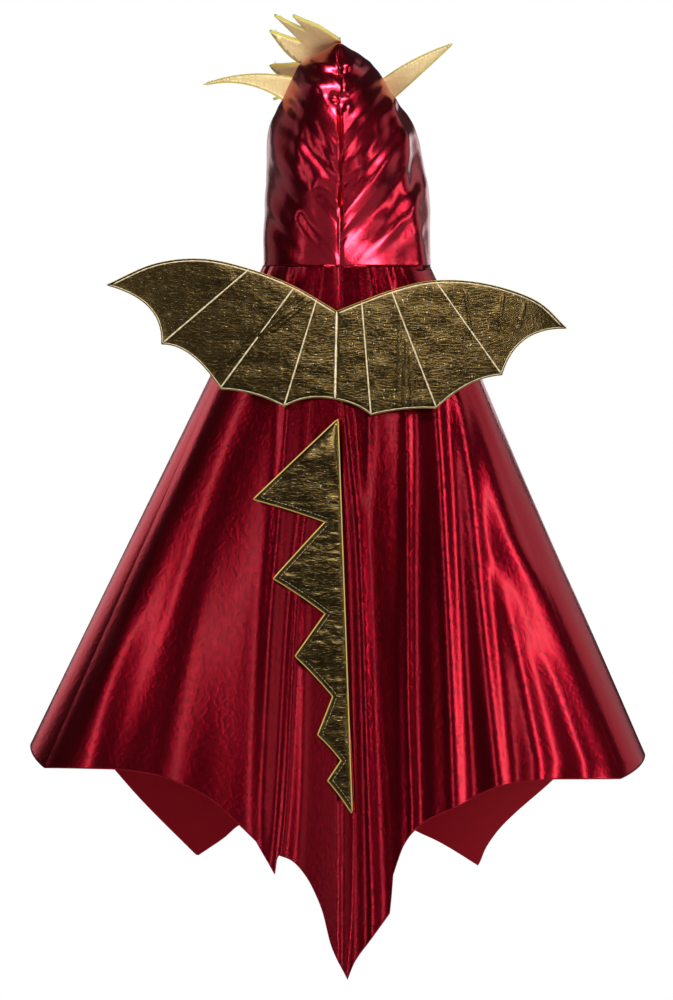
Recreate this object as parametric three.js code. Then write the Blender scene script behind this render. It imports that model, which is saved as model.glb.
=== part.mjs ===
// Child's hooded dragon cape: a gathered cape with a scalloped hem, a peaked hood with horns and a
// crest, bat wings stitched over the shoulders and a spiked fin down the centre back.
// Millimetres, +Z up, +Y the way the wearer faces, +X to the wearer's right.
// The origin is the middle of the neck opening, at the height of the neck seam.
import * as THREE from "three";

// ---- driving dimensions -------------------------------------------------------------------
const CLOTH = 1.6; // thickness of a cloth panel
const GAP = 0.3; // clearance between pieces that touch
const SKIN = 0.8; // foil skin of a padded trim
const FOAM = 3.0; // foam inside a padded trim
const PAD = 2 * SKIN + FOAM + 2 * GAP; // whole padded trim

const NECK = { left: 92, right: 108, halfDepth: 80 };
const SEAM = 1.0; // half of the open line between hood and cape
const BELOW_SEAM = 1.0; // closure tab and hanging loop start this far under that line
const CENTRE_SEAM = 0.7; // half of the open line down the middle of the hood
const HOOD_HEIGHT = 269;
// Half-width, back, face-edge angle of the hood, each against the height above the neck seam.
const HOOD_LEFT = [[0, 92], [95, 90], [145, 88], [174, 85], [205, 73], [227, 63], [245, 53], [258, 30],
  [269, 2.5]];
const HOOD_RIGHT = [[0, 108], [60, 108], [112, 104], [152, 97], [180, 86], [197, 72], [210, 61],
  [227, 54], [245, 45], [258, 22], [269, 2.5]];
const HOOD_BACK = [[0, -80], [60, -97], [110, -102], [170, -92], [215, -70], [245, -46], [269, -22]];
const HOOD_FACE = [[0, 165], [40, 146], [90, 128], [150, 118], [220, 114], [269, 112]];
const HOOD_FRONT_REACH = 92; // how far forward the crown reaches
const HOOD_REACH_HEIGHT = 90; // height at which the face edge has come that far forward
const HOOD_CELLS = [18, 15]; // facets across and up each hood panel
const RIDGE_SLOPE = 0.6; // fall of the ridge towards the forehead
const RIDGE_END = 112; // where that fall stops, ahead of the neck's middle

const HEM = { halfWidth: 369, x: -3 };
const FRONT_EDGE = 171; // angle of the front edges, measured from the centre back
const SIDE_LINE = 91; // angle of the side seams
// Height of the hem against the angle from the centre back: tail, scallop, side corner, front point.
const HEM_LEFT = [[0, 856], [2.5, 800], [5, 752], [8, 722], [12, 712], [16, 690], [20, 668], [25, 640],
  [30, 624], [37, 611], [48, 605], [66, 605], [80, 600], [90, 578], [100, 585], [120, 596], [135, 615],
  [153, 712], [161, 676], [172, 642]];
const HEM_RIGHT = [[0, 856], [2.5, 832], [6, 803], [9.5, 776], [11, 728], [14, 690], [18, 662],
  [24, 645], [30, 627], [37, 620], [45, 617], [62, 617], [80, 612], [90, 590], [100, 594], [120, 606],
  [132, 626], [151, 700], [154, 722], [161, 694], [172, 650]];
// Soft folds: their depth at the hem, how many a full turn would hold, and the angles they start and end at.
const FOLDS = { depth: 7, perTurn: 14, start: 20, full: 36, fading: 70, end: 86 };
const CENTRE_SEAM_DEGREES = 0.35; // half of the open line down the centre back
const SIDE_SEAM_DEGREES = 0.7; // open line down each side
const BACK_CELLS = [36, 7]; // facets across and down a back panel
const FRONT_CELLS = [20, 6]; // and a front panel
const BACK_SLOPE = 0.115; // how far the centre back leans out for each millimetre down
const FRONT_SLOPE = 0.07; // and the front panels

const WING_STAND = 9; // wings stand this far off the centre back
const WING_CENTRE = -5; // middle of the strip that holds the wings
const WING_STRIP = 15; // width of that strip
// Wing outlines: leading edge from the root to the tip, then its points and the hollows before each.
const WING_ROOT = { top: -50, notch: -56, bottom: -161 };
const LEFT_WING_TOP = [[-55, -26], [-109, -5], [-166, 7], [-223, 1], [-280, -24]];
const LEFT_WING_POINTS = [[-214, -95], [-143, -149], [-67, -170]];
const LEFT_WING_HOLLOWS = [[-211, -42], [-178, -94], [-103, -150], [-40, -154]];
const RIGHT_WING_TOP = [[61, -31], [115, -19], [175, -23], [235, -43], [272, -76]];
const RIGHT_WING_POINTS = [[194, -132], [115, -172], [37, -180]];
const RIGHT_WING_HOLLOWS = [[211, -74], [155, -134], [76, -170], [22, -166]];
const FIN_STAND = 7.5; // fin's middle plane stands this far off the centre back
const FIN_TOP = { x: -3, z: -186 };
const FIN_END = { x: 14, z: -656 };
const FIN_TIPS = [[-103, -281], [-79, -376], [-53, -469], [-26, -563], [-14, -618]];
const FIN_NOTCHES = [[-17, -308], [-17, -418], [-8, -517], [2, -594]];
const HORN_Y = 20; // how far forward the horns sit
const HORN_GAP = 3.5; // horn's sewn edge stands this far off the hood cloth
const LEFT_HORN = { base: [[-58, 226], [-69, 200]], over: [-112, 238], under: [-112, 230], tip: [-164, 218] };
const RIGHT_HORN = { base: [[52, 222], [66, 199]], over: [84, 250], under: [104, 237], tip: [135, 267] };
const CREST_LIFT = 5; // crest's sewn edge above the ridge
// Crest: distance forward and height of its tips and notches, its ends, and its lean in degrees.
const CREST_TIPS = [[4, 63], [22, 88], [40, 90], [56, 84], [74, 85]];
const CREST_NOTCHES = [[20, 44], [38, 48], [54, 45], [70, 42]];
const CREST_ENDS = [-6, 83];
const CREST_LEAN = [[-6, 63], [4, 63], [22, 63], [40, 69], [56, 90], [74, 110], [83, 92]];
const CURVE_STEPS = 5; // straight pieces in each curve of a trim's outline

// Neck tape: height, thickness, its outline against the neck seam's, and facets around and down.
const BAND = { height: 11, thickness: 1, scale: 0.9737, cells: [40, 1] };
const CLOSURE_Y = 82; // just outside the front panels at the neck
const TAB = { left: -28, length: 64, height: 18, thickness: 1.6 };
const PATCH = { length: 22, height: 14, thickness: 0.8, margin: 3 }; // margin from the tab's free end
const LOOP = { width: 40, drop: 20, tape: 10, thickness: 1.2, stand: 5 }; // stand off the centre back

// ---- finishes -----------------------------------------------------------------------------
const red = new THREE.MeshStandardMaterial({ color: 0x8c0018, roughness: 0.3, metalness: 0.9 });
const gold = new THREE.MeshStandardMaterial({ color: 0x9a7a38, roughness: 0.35, metalness: 1 });
const tan = new THREE.MeshStandardMaterial({ color: 0xd9b987, roughness: 0.55, metalness: 0.6 });
const foam = new THREE.MeshStandardMaterial({ color: 0xe8d94a, roughness: 0.95, metalness: 0 });
const tape = new THREE.MeshStandardMaterial({ color: 0x7a0014, roughness: 0.85, metalness: 0 });
const hookAndLoop = new THREE.MeshStandardMaterial({ color: 0x5a0a14, roughness: 0.95, metalness: 0 });

const cape = new THREE.Group();
const DEGREE = Math.PI / 180;

function add(name, geometry, material) {
  const mesh = new THREE.Mesh(geometry, material);
  mesh.name = name;
  cape.add(mesh);
  return mesh;
}

// ---- helpers ------------------------------------------------------------------------------
// Smooth curve through [input, output] pairs that never overshoots them.
function profile(pairs) {
  const slope = pairs.slice(1).map(([x, y], i) => (y - pairs[i][1]) / (x - pairs[i][0]));
  const tangent = pairs.map((_, i) => {
    const before = slope[Math.max(0, i - 1)];
    const after = slope[Math.min(slope.length - 1, i)];
    return before * after <= 0 ? 0 : (2 * before * after) / (before + after);
  });
  return (x) => {
    const last = pairs.length - 2;
    const found = pairs.findIndex(([edge]) => edge > x) - 1;
    const i = x <= pairs[0][0] ? 0 : found < 0 ? last : Math.min(found, last);
    const width = pairs[i + 1][0] - pairs[i][0];
    const s = THREE.MathUtils.clamp((x - pairs[i][0]) / width, 0, 1);
    const ends = pairs[i][1] * (1 + 2 * s) * (1 - s) ** 2 + pairs[i + 1][1] * s * s * (3 - 2 * s);
    return ends + width * (tangent[i] * s * (1 - s) ** 2 - tangent[i + 1] * s * s * (1 - s));
  };
}

// Closed solid made of an inner and an outer layer of points and a rim between them.
function closedLayers(columns, rows, point) {
  const positions = [];
  const index = [];
  const at = (layer, i, j) => (layer * columns + i) * rows + j;
  for (let layer = 0; layer < 2; layer++)
    for (let i = 0; i < columns; i++)
      for (let j = 0; j < rows; j++) positions.push(...point(layer, i, j).toArray());
  const quad = (a, b, c, d) => index.push(a, b, c, a, c, d);
  for (let i = 0; i + 1 < columns; i++)
    for (let j = 0; j + 1 < rows; j++) {
      quad(at(1, i, j), at(1, i + 1, j), at(1, i + 1, j + 1), at(1, i, j + 1));
      quad(at(0, i, j), at(0, i, j + 1), at(0, i + 1, j + 1), at(0, i + 1, j));
    }
  for (let i = 0; i + 1 < columns; i++) {
    quad(at(0, i, 0), at(0, i + 1, 0), at(1, i + 1, 0), at(1, i, 0));
    quad(at(1, i, rows - 1), at(1, i + 1, rows - 1), at(0, i + 1, rows - 1), at(0, i, rows - 1));
  }
  for (let j = 0; j + 1 < rows; j++) {
    quad(at(1, 0, j), at(1, 0, j + 1), at(0, 0, j + 1), at(0, 0, j));
    const end = columns - 1;
    quad(at(0, end, j), at(0, end, j + 1), at(1, end, j + 1), at(1, end, j));
  }
  const geometry = new THREE.BufferGeometry();
  geometry.setAttribute("position", new THREE.Float32BufferAttribute(positions, 3));
  geometry.setIndex(index);
  return signedVolume(geometry) < 0 ? turnedInsideOut(geometry) : geometry;
}

function signedVolume(geometry) {
  const p = geometry.getAttribute("position");
  const corner = (k) => new THREE.Vector3().fromBufferAttribute(p, geometry.index.getX(k));
  let volume = 0;
  for (let k = 0; k < geometry.index.count; k += 3)
    volume += corner(k).dot(corner(k + 1).cross(corner(k + 2))) / 6;
  return volume;
}

function turnedInsideOut(geometry) {
  const order = Array.from(geometry.index.array);
  for (let k = 0; k < order.length; k += 3) [order[k], order[k + 1]] = [order[k + 1], order[k]];
  geometry.setIndex(order);
  return geometry;
}

// Cloth panel of even thickness over surface(u, v), u and v from 0 to 1.
function clothPanel(surface, [columns, rows], thickness = CLOTH) {
  const step = 1e-3; // length its slope is measured over
  const normal = (u, v) => {
    const across = surface(Math.min(1, u + step), v).sub(surface(Math.max(0, u - step), v));
    const down = surface(u, Math.min(1, v + step)).sub(surface(u, Math.max(0, v - step)));
    return across.cross(down).normalize();
  };
  return closedLayers(columns + 1, rows + 1, (layer, i, j) => {
    const [u, v] = [i / columns, j / rows];
    return surface(u, v).addScaledVector(normal(u, v), (layer - 0.5) * thickness);
  });
}

// Flat outline in x and z given a thickness along y, then laid on place(x, z, offset).
function plate(shape, thickness, start, place) {
  const options = { depth: thickness, bevelEnabled: false, curveSegments: CURVE_STEPS };
  const geometry = new THREE.ExtrudeGeometry(shape, options);
  const p = geometry.getAttribute("position");
  for (let k = 0; k < p.count; k++) {
    const spot = place(p.getX(k), p.getY(k), start + thickness - p.getZ(k));
    p.setXYZ(k, spot.x, spot.y, spot.z);
  }
  return geometry;
}

// Padded trim: outer skin, foam and inner skin over one outline, from the outer side inwards.
function paddedTrim(names, shape, place, finishes) {
  add(names[0], plate(shape, SKIN, -PAD / 2, place), finishes[0]);
  add(names[1], plate(shape, FOAM, -PAD / 2 + SKIN + GAP, place), finishes[1]);
  add(names[2], plate(shape, SKIN, PAD / 2 - SKIN, place), finishes[2]);
}

// ---- cape panels --------------------------------------------------------------------------
const hemLeft = profile(HEM_LEFT);
const hemRight = profile(HEM_RIGHT);

function neckPoint(degrees) {
  const a = degrees * DEGREE;
  const x = (degrees < 0 ? NECK.left : NECK.right) * Math.sin(a);
  return new THREE.Vector3(x, -NECK.halfDepth * Math.cos(a), -SEAM);
}

function hemPoint(degrees) {
  const a = degrees * DEGREE;
  const drop = degrees < 0 ? hemLeft(-degrees) : hemRight(degrees);
  const depth = NECK.halfDepth + (Math.cos(a) > 0 ? BACK_SLOPE : FRONT_SLOPE) * drop;
  return new THREE.Vector3(HEM.x + HEM.halfWidth * Math.sin(a), -depth * Math.cos(a), -drop);
}

// Soft folds: none at the centre back, where the fin lies, nor at the side seams.
function foldAt(degrees) {
  const side = Math.abs(degrees);
  const rise = THREE.MathUtils.smoothstep(side, FOLDS.start, FOLDS.full);
  const fall = THREE.MathUtils.smoothstep(side, FOLDS.fading, FOLDS.end);
  return (-FOLDS.depth * rise * (1 - fall) * (1 - Math.cos(side * FOLDS.perTurn * DEGREE))) / 2;
}

function capeSurface(degrees, v) {
  const top = neckPoint(degrees);
  const bottom = hemPoint(degrees);
  const outward = new THREE.Vector3(Math.sin(degrees * DEGREE), -Math.cos(degrees * DEGREE), 0);
  return top.lerp(bottom, v).addScaledVector(outward, foldAt(degrees) * v);
}

function capePanel(name, from, to, cells) {
  const surface = (u, v) => capeSurface(THREE.MathUtils.lerp(from, to, u), v);
  add(name, clothPanel(surface, cells), red);
}

const backEdge = SIDE_LINE - CENTRE_SEAM_DEGREES;
const frontEdge = backEdge + 2 * SIDE_SEAM_DEGREES;
capePanel("cape_left_back_panel", -backEdge, -CENTRE_SEAM_DEGREES, BACK_CELLS);
capePanel("cape_right_back_panel", CENTRE_SEAM_DEGREES, backEdge, BACK_CELLS);
capePanel("cape_left_front_panel", -FRONT_EDGE, -frontEdge, FRONT_CELLS);
capePanel("cape_right_front_panel", frontEdge, FRONT_EDGE, FRONT_CELLS);

// ---- hood ---------------------------------------------------------------------------------
const hoodLeft = profile(HOOD_LEFT);
const hoodRight = profile(HOOD_RIGHT);
const hoodBack = profile(HOOD_BACK);
const hoodFace = profile(HOOD_FACE);

function ridgeFall(y) {
  return RIDGE_SLOPE * THREE.MathUtils.clamp(y, 0, RIDGE_END);
}

// Hood point at a height (0 at the neck, 1 along the ridge) and an angle from the centre back.
function hoodSurface(height, degrees) {
  const level = height * HOOD_HEIGHT;
  const a = degrees * DEGREE;
  const back = hoodBack(level);
  const reach = THREE.MathUtils.lerp(NECK.halfDepth, HOOD_FRONT_REACH, Math.min(1, level / HOOD_REACH_HEIGHT));
  const spread = -Math.cos(hoodFace(level) * DEGREE);
  const y = back + ((reach - back) / (1 + spread)) * (1 - Math.cos(a));
  const halfWidth = degrees < 0 ? hoodLeft(level) : hoodRight(level);
  const x = Math.sign(degrees) * CENTRE_SEAM + halfWidth * Math.sin(a);
  return new THREE.Vector3(x, y, SEAM + (level * (HOOD_HEIGHT - ridgeFall(y))) / HOOD_HEIGHT);
}

function hoodPanel(name, side) {
  const least = 0.01; // an angle of nothing would have no side
  const surface = (u, v) => hoodSurface(v, side * Math.max(least, u * hoodFace(v * HOOD_HEIGHT)));
  add(name, clothPanel(surface, HOOD_CELLS), red);
}

hoodPanel("hood_left_panel", -1);
hoodPanel("hood_right_panel", 1);

// ---- wings, stitched to the centre back by a strip -------------------------------------------

// Half wing: an arched leading edge out to the tip, then hollows between its points back to the root.
function wingShape(rootX, top, points, hollows) {
  const shape = new THREE.Shape();
  shape.moveTo(rootX, WING_ROOT.bottom);
  shape.lineTo(rootX, WING_ROOT.top);
  shape.splineThru(top.map((p) => new THREE.Vector2(...p)));
  points.forEach((p, i) => shape.quadraticCurveTo(...hollows[i], ...p));
  shape.quadraticCurveTo(...hollows[points.length], rootX, WING_ROOT.bottom);
  return shape;
}

const backAt = (z) => -NECK.halfDepth + BACK_SLOPE * z;
const wingPlace = (x, z, offset) => new THREE.Vector3(x, backAt(z) - WING_STAND + offset, z);
const GOLD_TRIM = [gold, foam, gold];
const TAN_TRIM = [tan, foam, gold];

const trimNames = (piece, outer, inner) => [piece + "_" + outer, piece + "_foam", piece + "_" + inner];
const stripLeft = WING_CENTRE - WING_STRIP / 2;
const stripRight = WING_CENTRE + WING_STRIP / 2;

const strip = new THREE.Shape([
  new THREE.Vector2(stripLeft, WING_ROOT.top),
  new THREE.Vector2(WING_CENTRE, WING_ROOT.notch),
  new THREE.Vector2(stripRight, WING_ROOT.top),
  new THREE.Vector2(stripRight, WING_ROOT.bottom),
  new THREE.Vector2(stripLeft, WING_ROOT.bottom),
]);
add("wing_centre_strip", plate(strip, PAD, -PAD / 2, wingPlace), gold);
paddedTrim(
  trimNames("wing_left", "outer_skin", "inner_skin"),
  wingShape(stripLeft - GAP, LEFT_WING_TOP, LEFT_WING_POINTS, LEFT_WING_HOLLOWS),
  wingPlace,
  GOLD_TRIM,
);
paddedTrim(
  trimNames("wing_right", "outer_skin", "inner_skin"),
  wingShape(stripRight + GAP, RIGHT_WING_TOP, RIGHT_WING_POINTS, RIGHT_WING_HOLLOWS),
  wingPlace,
  GOLD_TRIM,
);

// ---- tail fin, sewn along the centre-back seam and lying over to the left -----------------------
const finShape = new THREE.Shape();
finShape.moveTo(FIN_TOP.x, FIN_TOP.z);
FIN_TIPS.forEach((tip, i) => {
  finShape.lineTo(...tip);
  finShape.lineTo(...(FIN_NOTCHES[i] ?? [FIN_END.x, FIN_END.z]));
});
finShape.closePath();
const finPlace = (x, z, offset) => new THREE.Vector3(x, backAt(z) - FIN_STAND + offset, z);
paddedTrim(trimNames("fin", "outer_skin", "inner_skin"), finShape, finPlace, GOLD_TRIM);

// ---- crest, sewn into the ridge of the hood and drooping to the left ----------------------------
const crestLean = profile(CREST_LEAN);

function crestPlace(s, height, offset) {
  const lean = crestLean(s) * DEGREE;
  const foot = HOOD_HEIGHT + SEAM + CREST_LIFT - RIDGE_SLOPE * s;
  return new THREE.Vector3(
    -height * Math.sin(lean) - offset * Math.cos(lean),
    s,
    foot + height * Math.cos(lean) - offset * Math.sin(lean),
  );
}

const crestShape = new THREE.Shape();
crestShape.moveTo(CREST_ENDS[0], 0);
CREST_TIPS.forEach((tip, i) => {
  crestShape.lineTo(...tip);
  crestShape.lineTo(...(CREST_NOTCHES[i] ?? [CREST_ENDS[1], 0]));
});
crestShape.closePath();
paddedTrim(trimNames("crest", "upper_skin", "under_skin"), crestShape, crestPlace, [gold, foam, tan]);

// ---- horns ------------------------------------------------------------------------------------

// Curved horn: its sewn edge, an edge over the top to the tip, and one back underneath.
function hornShape({ base, over, under, tip }) {
  const shape = new THREE.Shape();
  const out = Math.sign(tip[0]) * HORN_GAP;
  shape.moveTo(base[1][0] + out, base[1][1]);
  shape.lineTo(base[0][0] + out, base[0][1]);
  shape.quadraticCurveTo(...over, ...tip);
  shape.quadraticCurveTo(...under, base[1][0] + out, base[1][1]);
  return shape;
}

const hornPlace = (x, z, offset) => new THREE.Vector3(x, HORN_Y + offset, z);
paddedTrim(trimNames("horn_left", "back_skin", "front_skin"), hornShape(LEFT_HORN), hornPlace, TAN_TRIM);
paddedTrim(trimNames("horn_right", "back_skin", "front_skin"), hornShape(RIGHT_HORN), hornPlace, TAN_TRIM);

// ---- neck tape, hanging loop and closure --------------------------------------------------------
function neckBand() {
  const surface = (u, v) => {
    const seam = neckPoint(THREE.MathUtils.lerp(-FRONT_EDGE, FRONT_EDGE, u));
    return new THREE.Vector3(seam.x * BAND.scale, seam.y * BAND.scale, seam.z - v * BAND.height);
  };
  add("neck_tape", clothPanel(surface, BAND.cells, BAND.thickness), tape);
}
neckBand();

function block(name, size, centre, material) {
  const mesh = add(name, new THREE.BoxGeometry(...size), material);
  mesh.position.set(...centre);
}

// Tab that closes the neck: sewn at the left, pressed on to a patch at the right front.
const tabZ = -SEAM - BELOW_SEAM - TAB.height / 2;
const patchX = TAB.left + TAB.length - PATCH.margin - PATCH.length / 2;
const patchSize = [PATCH.length, PATCH.thickness, PATCH.height];
const patchStep = PATCH.thickness + GAP;
const tabY = CLOSURE_Y + 2 * patchStep + TAB.thickness / 2;
block("loop_patch", patchSize, [patchX, CLOSURE_Y + PATCH.thickness / 2, tabZ], hookAndLoop);
block("hook_patch", patchSize, [patchX, CLOSURE_Y + patchStep + PATCH.thickness / 2, tabZ], hookAndLoop);
block("closure_tab", [TAB.length, TAB.thickness, TAB.height], [TAB.left + TAB.length / 2, tabY, tabZ], red);

// Hanging loop: a tape ring below the neck tape at the centre back.
function hangLoop() {
  const half = LOOP.width / 2;
  const outer = new THREE.Shape();
  outer.moveTo(-half, 0);
  outer.lineTo(-half, -LOOP.drop + half / 2);
  outer.quadraticCurveTo(-half, -LOOP.drop, 0, -LOOP.drop);
  outer.quadraticCurveTo(half, -LOOP.drop, half, -LOOP.drop + half / 2);
  outer.lineTo(half, 0);
  const hole = new THREE.Path();
  const inner = half - LOOP.thickness;
  hole.moveTo(-inner, -LOOP.thickness);
  hole.lineTo(-inner, -LOOP.drop + half / 2);
  hole.quadraticCurveTo(-inner, -LOOP.drop + LOOP.thickness, 0, -LOOP.drop + LOOP.thickness);
  hole.quadraticCurveTo(inner, -LOOP.drop + LOOP.thickness, inner, -LOOP.drop + half / 2);
  hole.lineTo(inner, -LOOP.thickness);
  outer.holes.push(hole);
  const y = -NECK.halfDepth + LOOP.stand + LOOP.tape / 2;
  const place = (x, z, offset) => new THREE.Vector3(x, y + offset, z - SEAM - BELOW_SEAM);
  add("hang_loop", plate(outer, LOOP.tape, -LOOP.tape / 2, place), tape);
}
hangLoop();

export default cape;
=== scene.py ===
# %% [markdown]
# # A child's hooded dragon cape
# The real thing is sewn from crimson foil knit: a cape gathered on to a neck seam, a peaked hood, and
# gold foam-backed trims for the wings, the fin, the crest and the horns. The packed model gives every
# place and size. Here each piece gets the cloth, the foil, the foam and the thread it is made of.

# %% Load the frame
import bmesh
import bpy
import numpy as np
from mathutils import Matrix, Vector
from mathutils.geometry import delaunay_2d_cdt


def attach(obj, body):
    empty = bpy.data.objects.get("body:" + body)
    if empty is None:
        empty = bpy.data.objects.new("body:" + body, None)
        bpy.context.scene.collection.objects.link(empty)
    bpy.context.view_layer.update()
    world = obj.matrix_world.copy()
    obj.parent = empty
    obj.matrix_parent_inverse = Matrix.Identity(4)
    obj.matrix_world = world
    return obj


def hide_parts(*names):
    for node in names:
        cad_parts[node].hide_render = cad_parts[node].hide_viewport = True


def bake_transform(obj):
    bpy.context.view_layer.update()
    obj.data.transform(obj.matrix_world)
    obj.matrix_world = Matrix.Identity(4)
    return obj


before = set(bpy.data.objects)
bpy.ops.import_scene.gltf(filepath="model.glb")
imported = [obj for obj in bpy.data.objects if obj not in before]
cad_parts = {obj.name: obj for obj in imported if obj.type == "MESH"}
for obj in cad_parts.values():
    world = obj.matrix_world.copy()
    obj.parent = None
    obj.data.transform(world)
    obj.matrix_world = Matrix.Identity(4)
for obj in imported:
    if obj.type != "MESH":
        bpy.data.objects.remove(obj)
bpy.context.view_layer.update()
MM = 0.001

# %% [markdown]
# ## Smooth lines
# The hem, the folds and the hood's outline are each known at a few places. A polynomial through them
# would swing wide between two places. A monotone curve never overshoots them, so it is used everywhere.

# %% A curve through a few places
def curve(pairs):
    """A smooth function through [input, output] pairs that never overshoots them."""
    x, y = np.array(pairs, float).T
    slope = np.diff(y) / np.diff(x)
    before, after = np.r_[slope[0], slope], np.r_[slope, slope[-1]]
    same_way = before * after > 0
    tangent = np.where(same_way, 2 * before * after / np.where(same_way, before + after, 1), 0)

    def value(at):
        at = np.clip(at, x[0], x[-1])
        i = np.clip(np.searchsorted(x, at, side="right") - 1, 0, len(x) - 2)
        width = x[i + 1] - x[i]
        s = (at - x[i]) / width
        ends = y[i] * (1 + 2 * s) * (1 - s) ** 2 + y[i + 1] * s**2 * (3 - 2 * s)
        return ends + width * (tangent[i] * s * (1 - s) ** 2 - tangent[i + 1] * s**2 * (1 - s))

    return value


def smoothstep(x, low, high):
    t = np.clip((x - low) / (high - low), 0, 1)
    return t * t * (3 - 2 * t)


def run_along(line):
    """The length of a line of points from its start to each of them."""
    return np.r_[0, np.cumsum(np.linalg.norm(np.diff(line, axis=0), axis=1))]


print("a curve through 0, 1 and 4, halfway up its last part:", float(curve([[0, 0], [1, 1], [2, 4]])(1.5)))

# %% [markdown]
# ## Crumple
# Thin foil cloth is never smooth. Its crumple comes from smooth noise on a seeded grid of numbers, so
# each run gives the same cloth. Folding the noise at its middle makes the sharp lines of a crease.

# %% Noise and creases
def noise(x, y, seed):
    """Smooth noise from 0 to 1 with bumps one unit apart."""
    size = 128
    table = np.random.default_rng(seed).random((size, size))
    xi, yi = np.floor(x).astype(int), np.floor(y).astype(int)
    fx, fy = x - xi, y - yi
    fx, fy = fx * fx * (3 - 2 * fx), fy * fy * (3 - 2 * fy)
    at = lambda i, j: table[(xi + i) % size, (yi + j) % size]
    low = at(0, 0) * (1 - fx) + at(1, 0) * fx
    high = at(0, 1) * (1 - fx) + at(1, 1) * fx
    return low * (1 - fy) + high * fy


def creases(x, y, seed):
    """Sharp crease lines on a flat ground, from 0 to 1."""
    first = 1 - np.abs(2 * noise(x, y, seed) - 1)
    second = 1 - np.abs(2 * noise(2.1 * x + 7, 2.1 * y, seed + 1) - 1)
    return (0.7 * first + 0.3 * second) ** 3


print("noise between four grid points:", round(float(noise(0.5, 0.5, 1)), 3))

# %% [markdown]
# ## Finishes
# Every finish here is made of shader nodes. Their maths reads best as sums, so one small class wraps a
# socket and gives it the usual operators: a sum of two of them adds a Math node.

# %% A socket that can be reckoned with
class Value:
    """A node's output that can be added, multiplied and so on; each step adds a Math node."""

    def __init__(self, finish, socket):
        self.finish = finish
        self.socket = socket

    def _math(self, operation, first, second):
        return self.finish.node("Math", {"operation": operation}, {0: first, 1: second})

    def __add__(self, other):
        return self._math("ADD", self, other)

    def __radd__(self, other):
        return self._math("ADD", other, self)

    def __sub__(self, other):
        return self._math("SUBTRACT", self, other)

    def __rsub__(self, other):
        return self._math("SUBTRACT", other, self)

    def __mul__(self, other):
        return self._math("MULTIPLY", self, other)

    def __rmul__(self, other):
        return self._math("MULTIPLY", other, self)

    def __pow__(self, other):
        return self._math("POWER", self, other)


print("operators:", [name for name in vars(Value) if callable(vars(Value)[name])][2:])

# %% [markdown]
# A finish is a Principled shader and the nodes that feed it. Constants go straight on the shader's own
# sockets. Cloth is marked with its own coordinates in metres, so grain and weave keep their real size
# wherever a piece is bent or gathered.

# %% A finish
class Finish:
    """A material with a Principled shader, and the nodes that feed it."""

    def __init__(self, name, **constants):
        self.material = bpy.data.materials.new(name)
        self.material.use_nodes = True
        self.tree = self.material.node_tree
        self.shader = self.tree.nodes["Principled BSDF"]
        for socket, value in constants.items():
            self.shader.inputs[socket.replace("_", " ")].default_value = value

    def node(self, kind, settings=None, sockets=None, output=0):
        node = self.tree.nodes.new("ShaderNode" + kind)
        for name, value in (settings or {}).items():
            setattr(node, name, value)
        for name, value in (sockets or {}).items():
            self._feed(node.inputs[name], value)
        return Value(self, node.outputs[output])

    def _feed(self, socket, value):
        if isinstance(value, Value):
            self.tree.links.new(value.socket, socket)
        else:
            socket.default_value = value

    def set(self, socket, value):
        self._feed(self.shader.inputs[socket], value)
        return self

    def ridged(self, value, sharpness):
        """Thin raised lines where smooth noise crosses its middle."""
        fold = self.node("Math", {"operation": "ABSOLUTE"}, {0: 2 * value - 1})
        return (1 - fold) ** sharpness

    def cloth_place(self, across, along):
        """The cloth's own coordinates in metres, times a number of repeats each way."""
        place = self.node("UVMap", {"uv_map": "cloth"})
        return self.node("Mapping", {}, {"Vector": place, "Scale": (across, along, 1)})

    def grain(self, across, along, detail=2.0):
        """Cloudy noise from 0 to 1, with so many clouds to the metre each way."""
        place = self.cloth_place(across, along)
        return self.node("TexNoise", {}, {"Vector": place, "Scale": 1.0, "Detail": detail})

    def mix(self, factor, first, second):
        """The first colour where factor is 0, and the second where it is 1."""
        mixed = self.node("Mix", {"data_type": "RGBA"}, {"Factor": factor}, output=2)
        node = mixed.socket.node
        self._feed(node.inputs[6], first)
        self._feed(node.inputs[7], second)
        return mixed

    def bump(self, height, distance):
        return self.set("Normal", self.node("Bump", {}, {"Height": height, "Distance": distance}))


def darker(colour, share):
    return tuple(share * c for c in colour[:3]) + (1,)


print("a darker gold:", darker((1.0, 0.8, 0.4, 1), 0.5))

# %% [markdown]
# The red cloth is a knit with a mirror-like crimson film, so it is a metal whose film has a clear coat:
# the metal gives the deep reds, and the coat gives the pink in the highlights. The hood's cloth is
# handled more, so its soft dents are deeper. Its red is a pinker copy of the cape's, a painted
# highlight colour that turns its highlights pink-white. The wrong side is plain knit.

# %% Red foil and its wrong side
RED = (0.50, 0.004, 0.026, 1)
RED_DEEP = (0.40, 0.001, 0.014, 1)
# The hood's pinker red is a painted highlight colour: it turns the hood's highlights pink-white.
RED_PINK_HIGHLIGHT_TINT = (0.54, 0.016, 0.046, 1)
KNIT, KNIT_DEEP = (0.55, 0.003, 0.020, 1), (0.46, 0.002, 0.014, 1)


def red_foil(name, soft_depth, crinkle_depth, red):
    finish = Finish(name, Metallic=1.0, Coat_Weight=0.3, Coat_Roughness=0.18, Coat_IOR=1.5)
    cloud = finish.grain(9, 5)
    finish.set("Base Color", finish.mix(cloud, red, RED_DEEP))
    finish.set("Roughness", 0.20 + 0.10 * finish.grain(35, 10))
    knit = finish.grain(1400, 1400, 1.0)
    soft = finish.grain(40, 12, 3.0)
    crinkle = finish.ridged(finish.grain(90, 60, 2.0), 8)
    finish.bump(soft * soft_depth + crinkle * crinkle_depth + knit * 0.04, 0.0008)
    return finish.material


def red_wrong_side():
    finish = Finish("red_wrong_side", Roughness=0.55, Specular_IOR_Level=0.2)
    weave = finish.grain(1600, 1600, 1.0)
    finish.set("Base Color", finish.mix(weave, KNIT, KNIT_DEEP))
    finish.bump(weave, 0.0002)
    return finish.material


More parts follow.
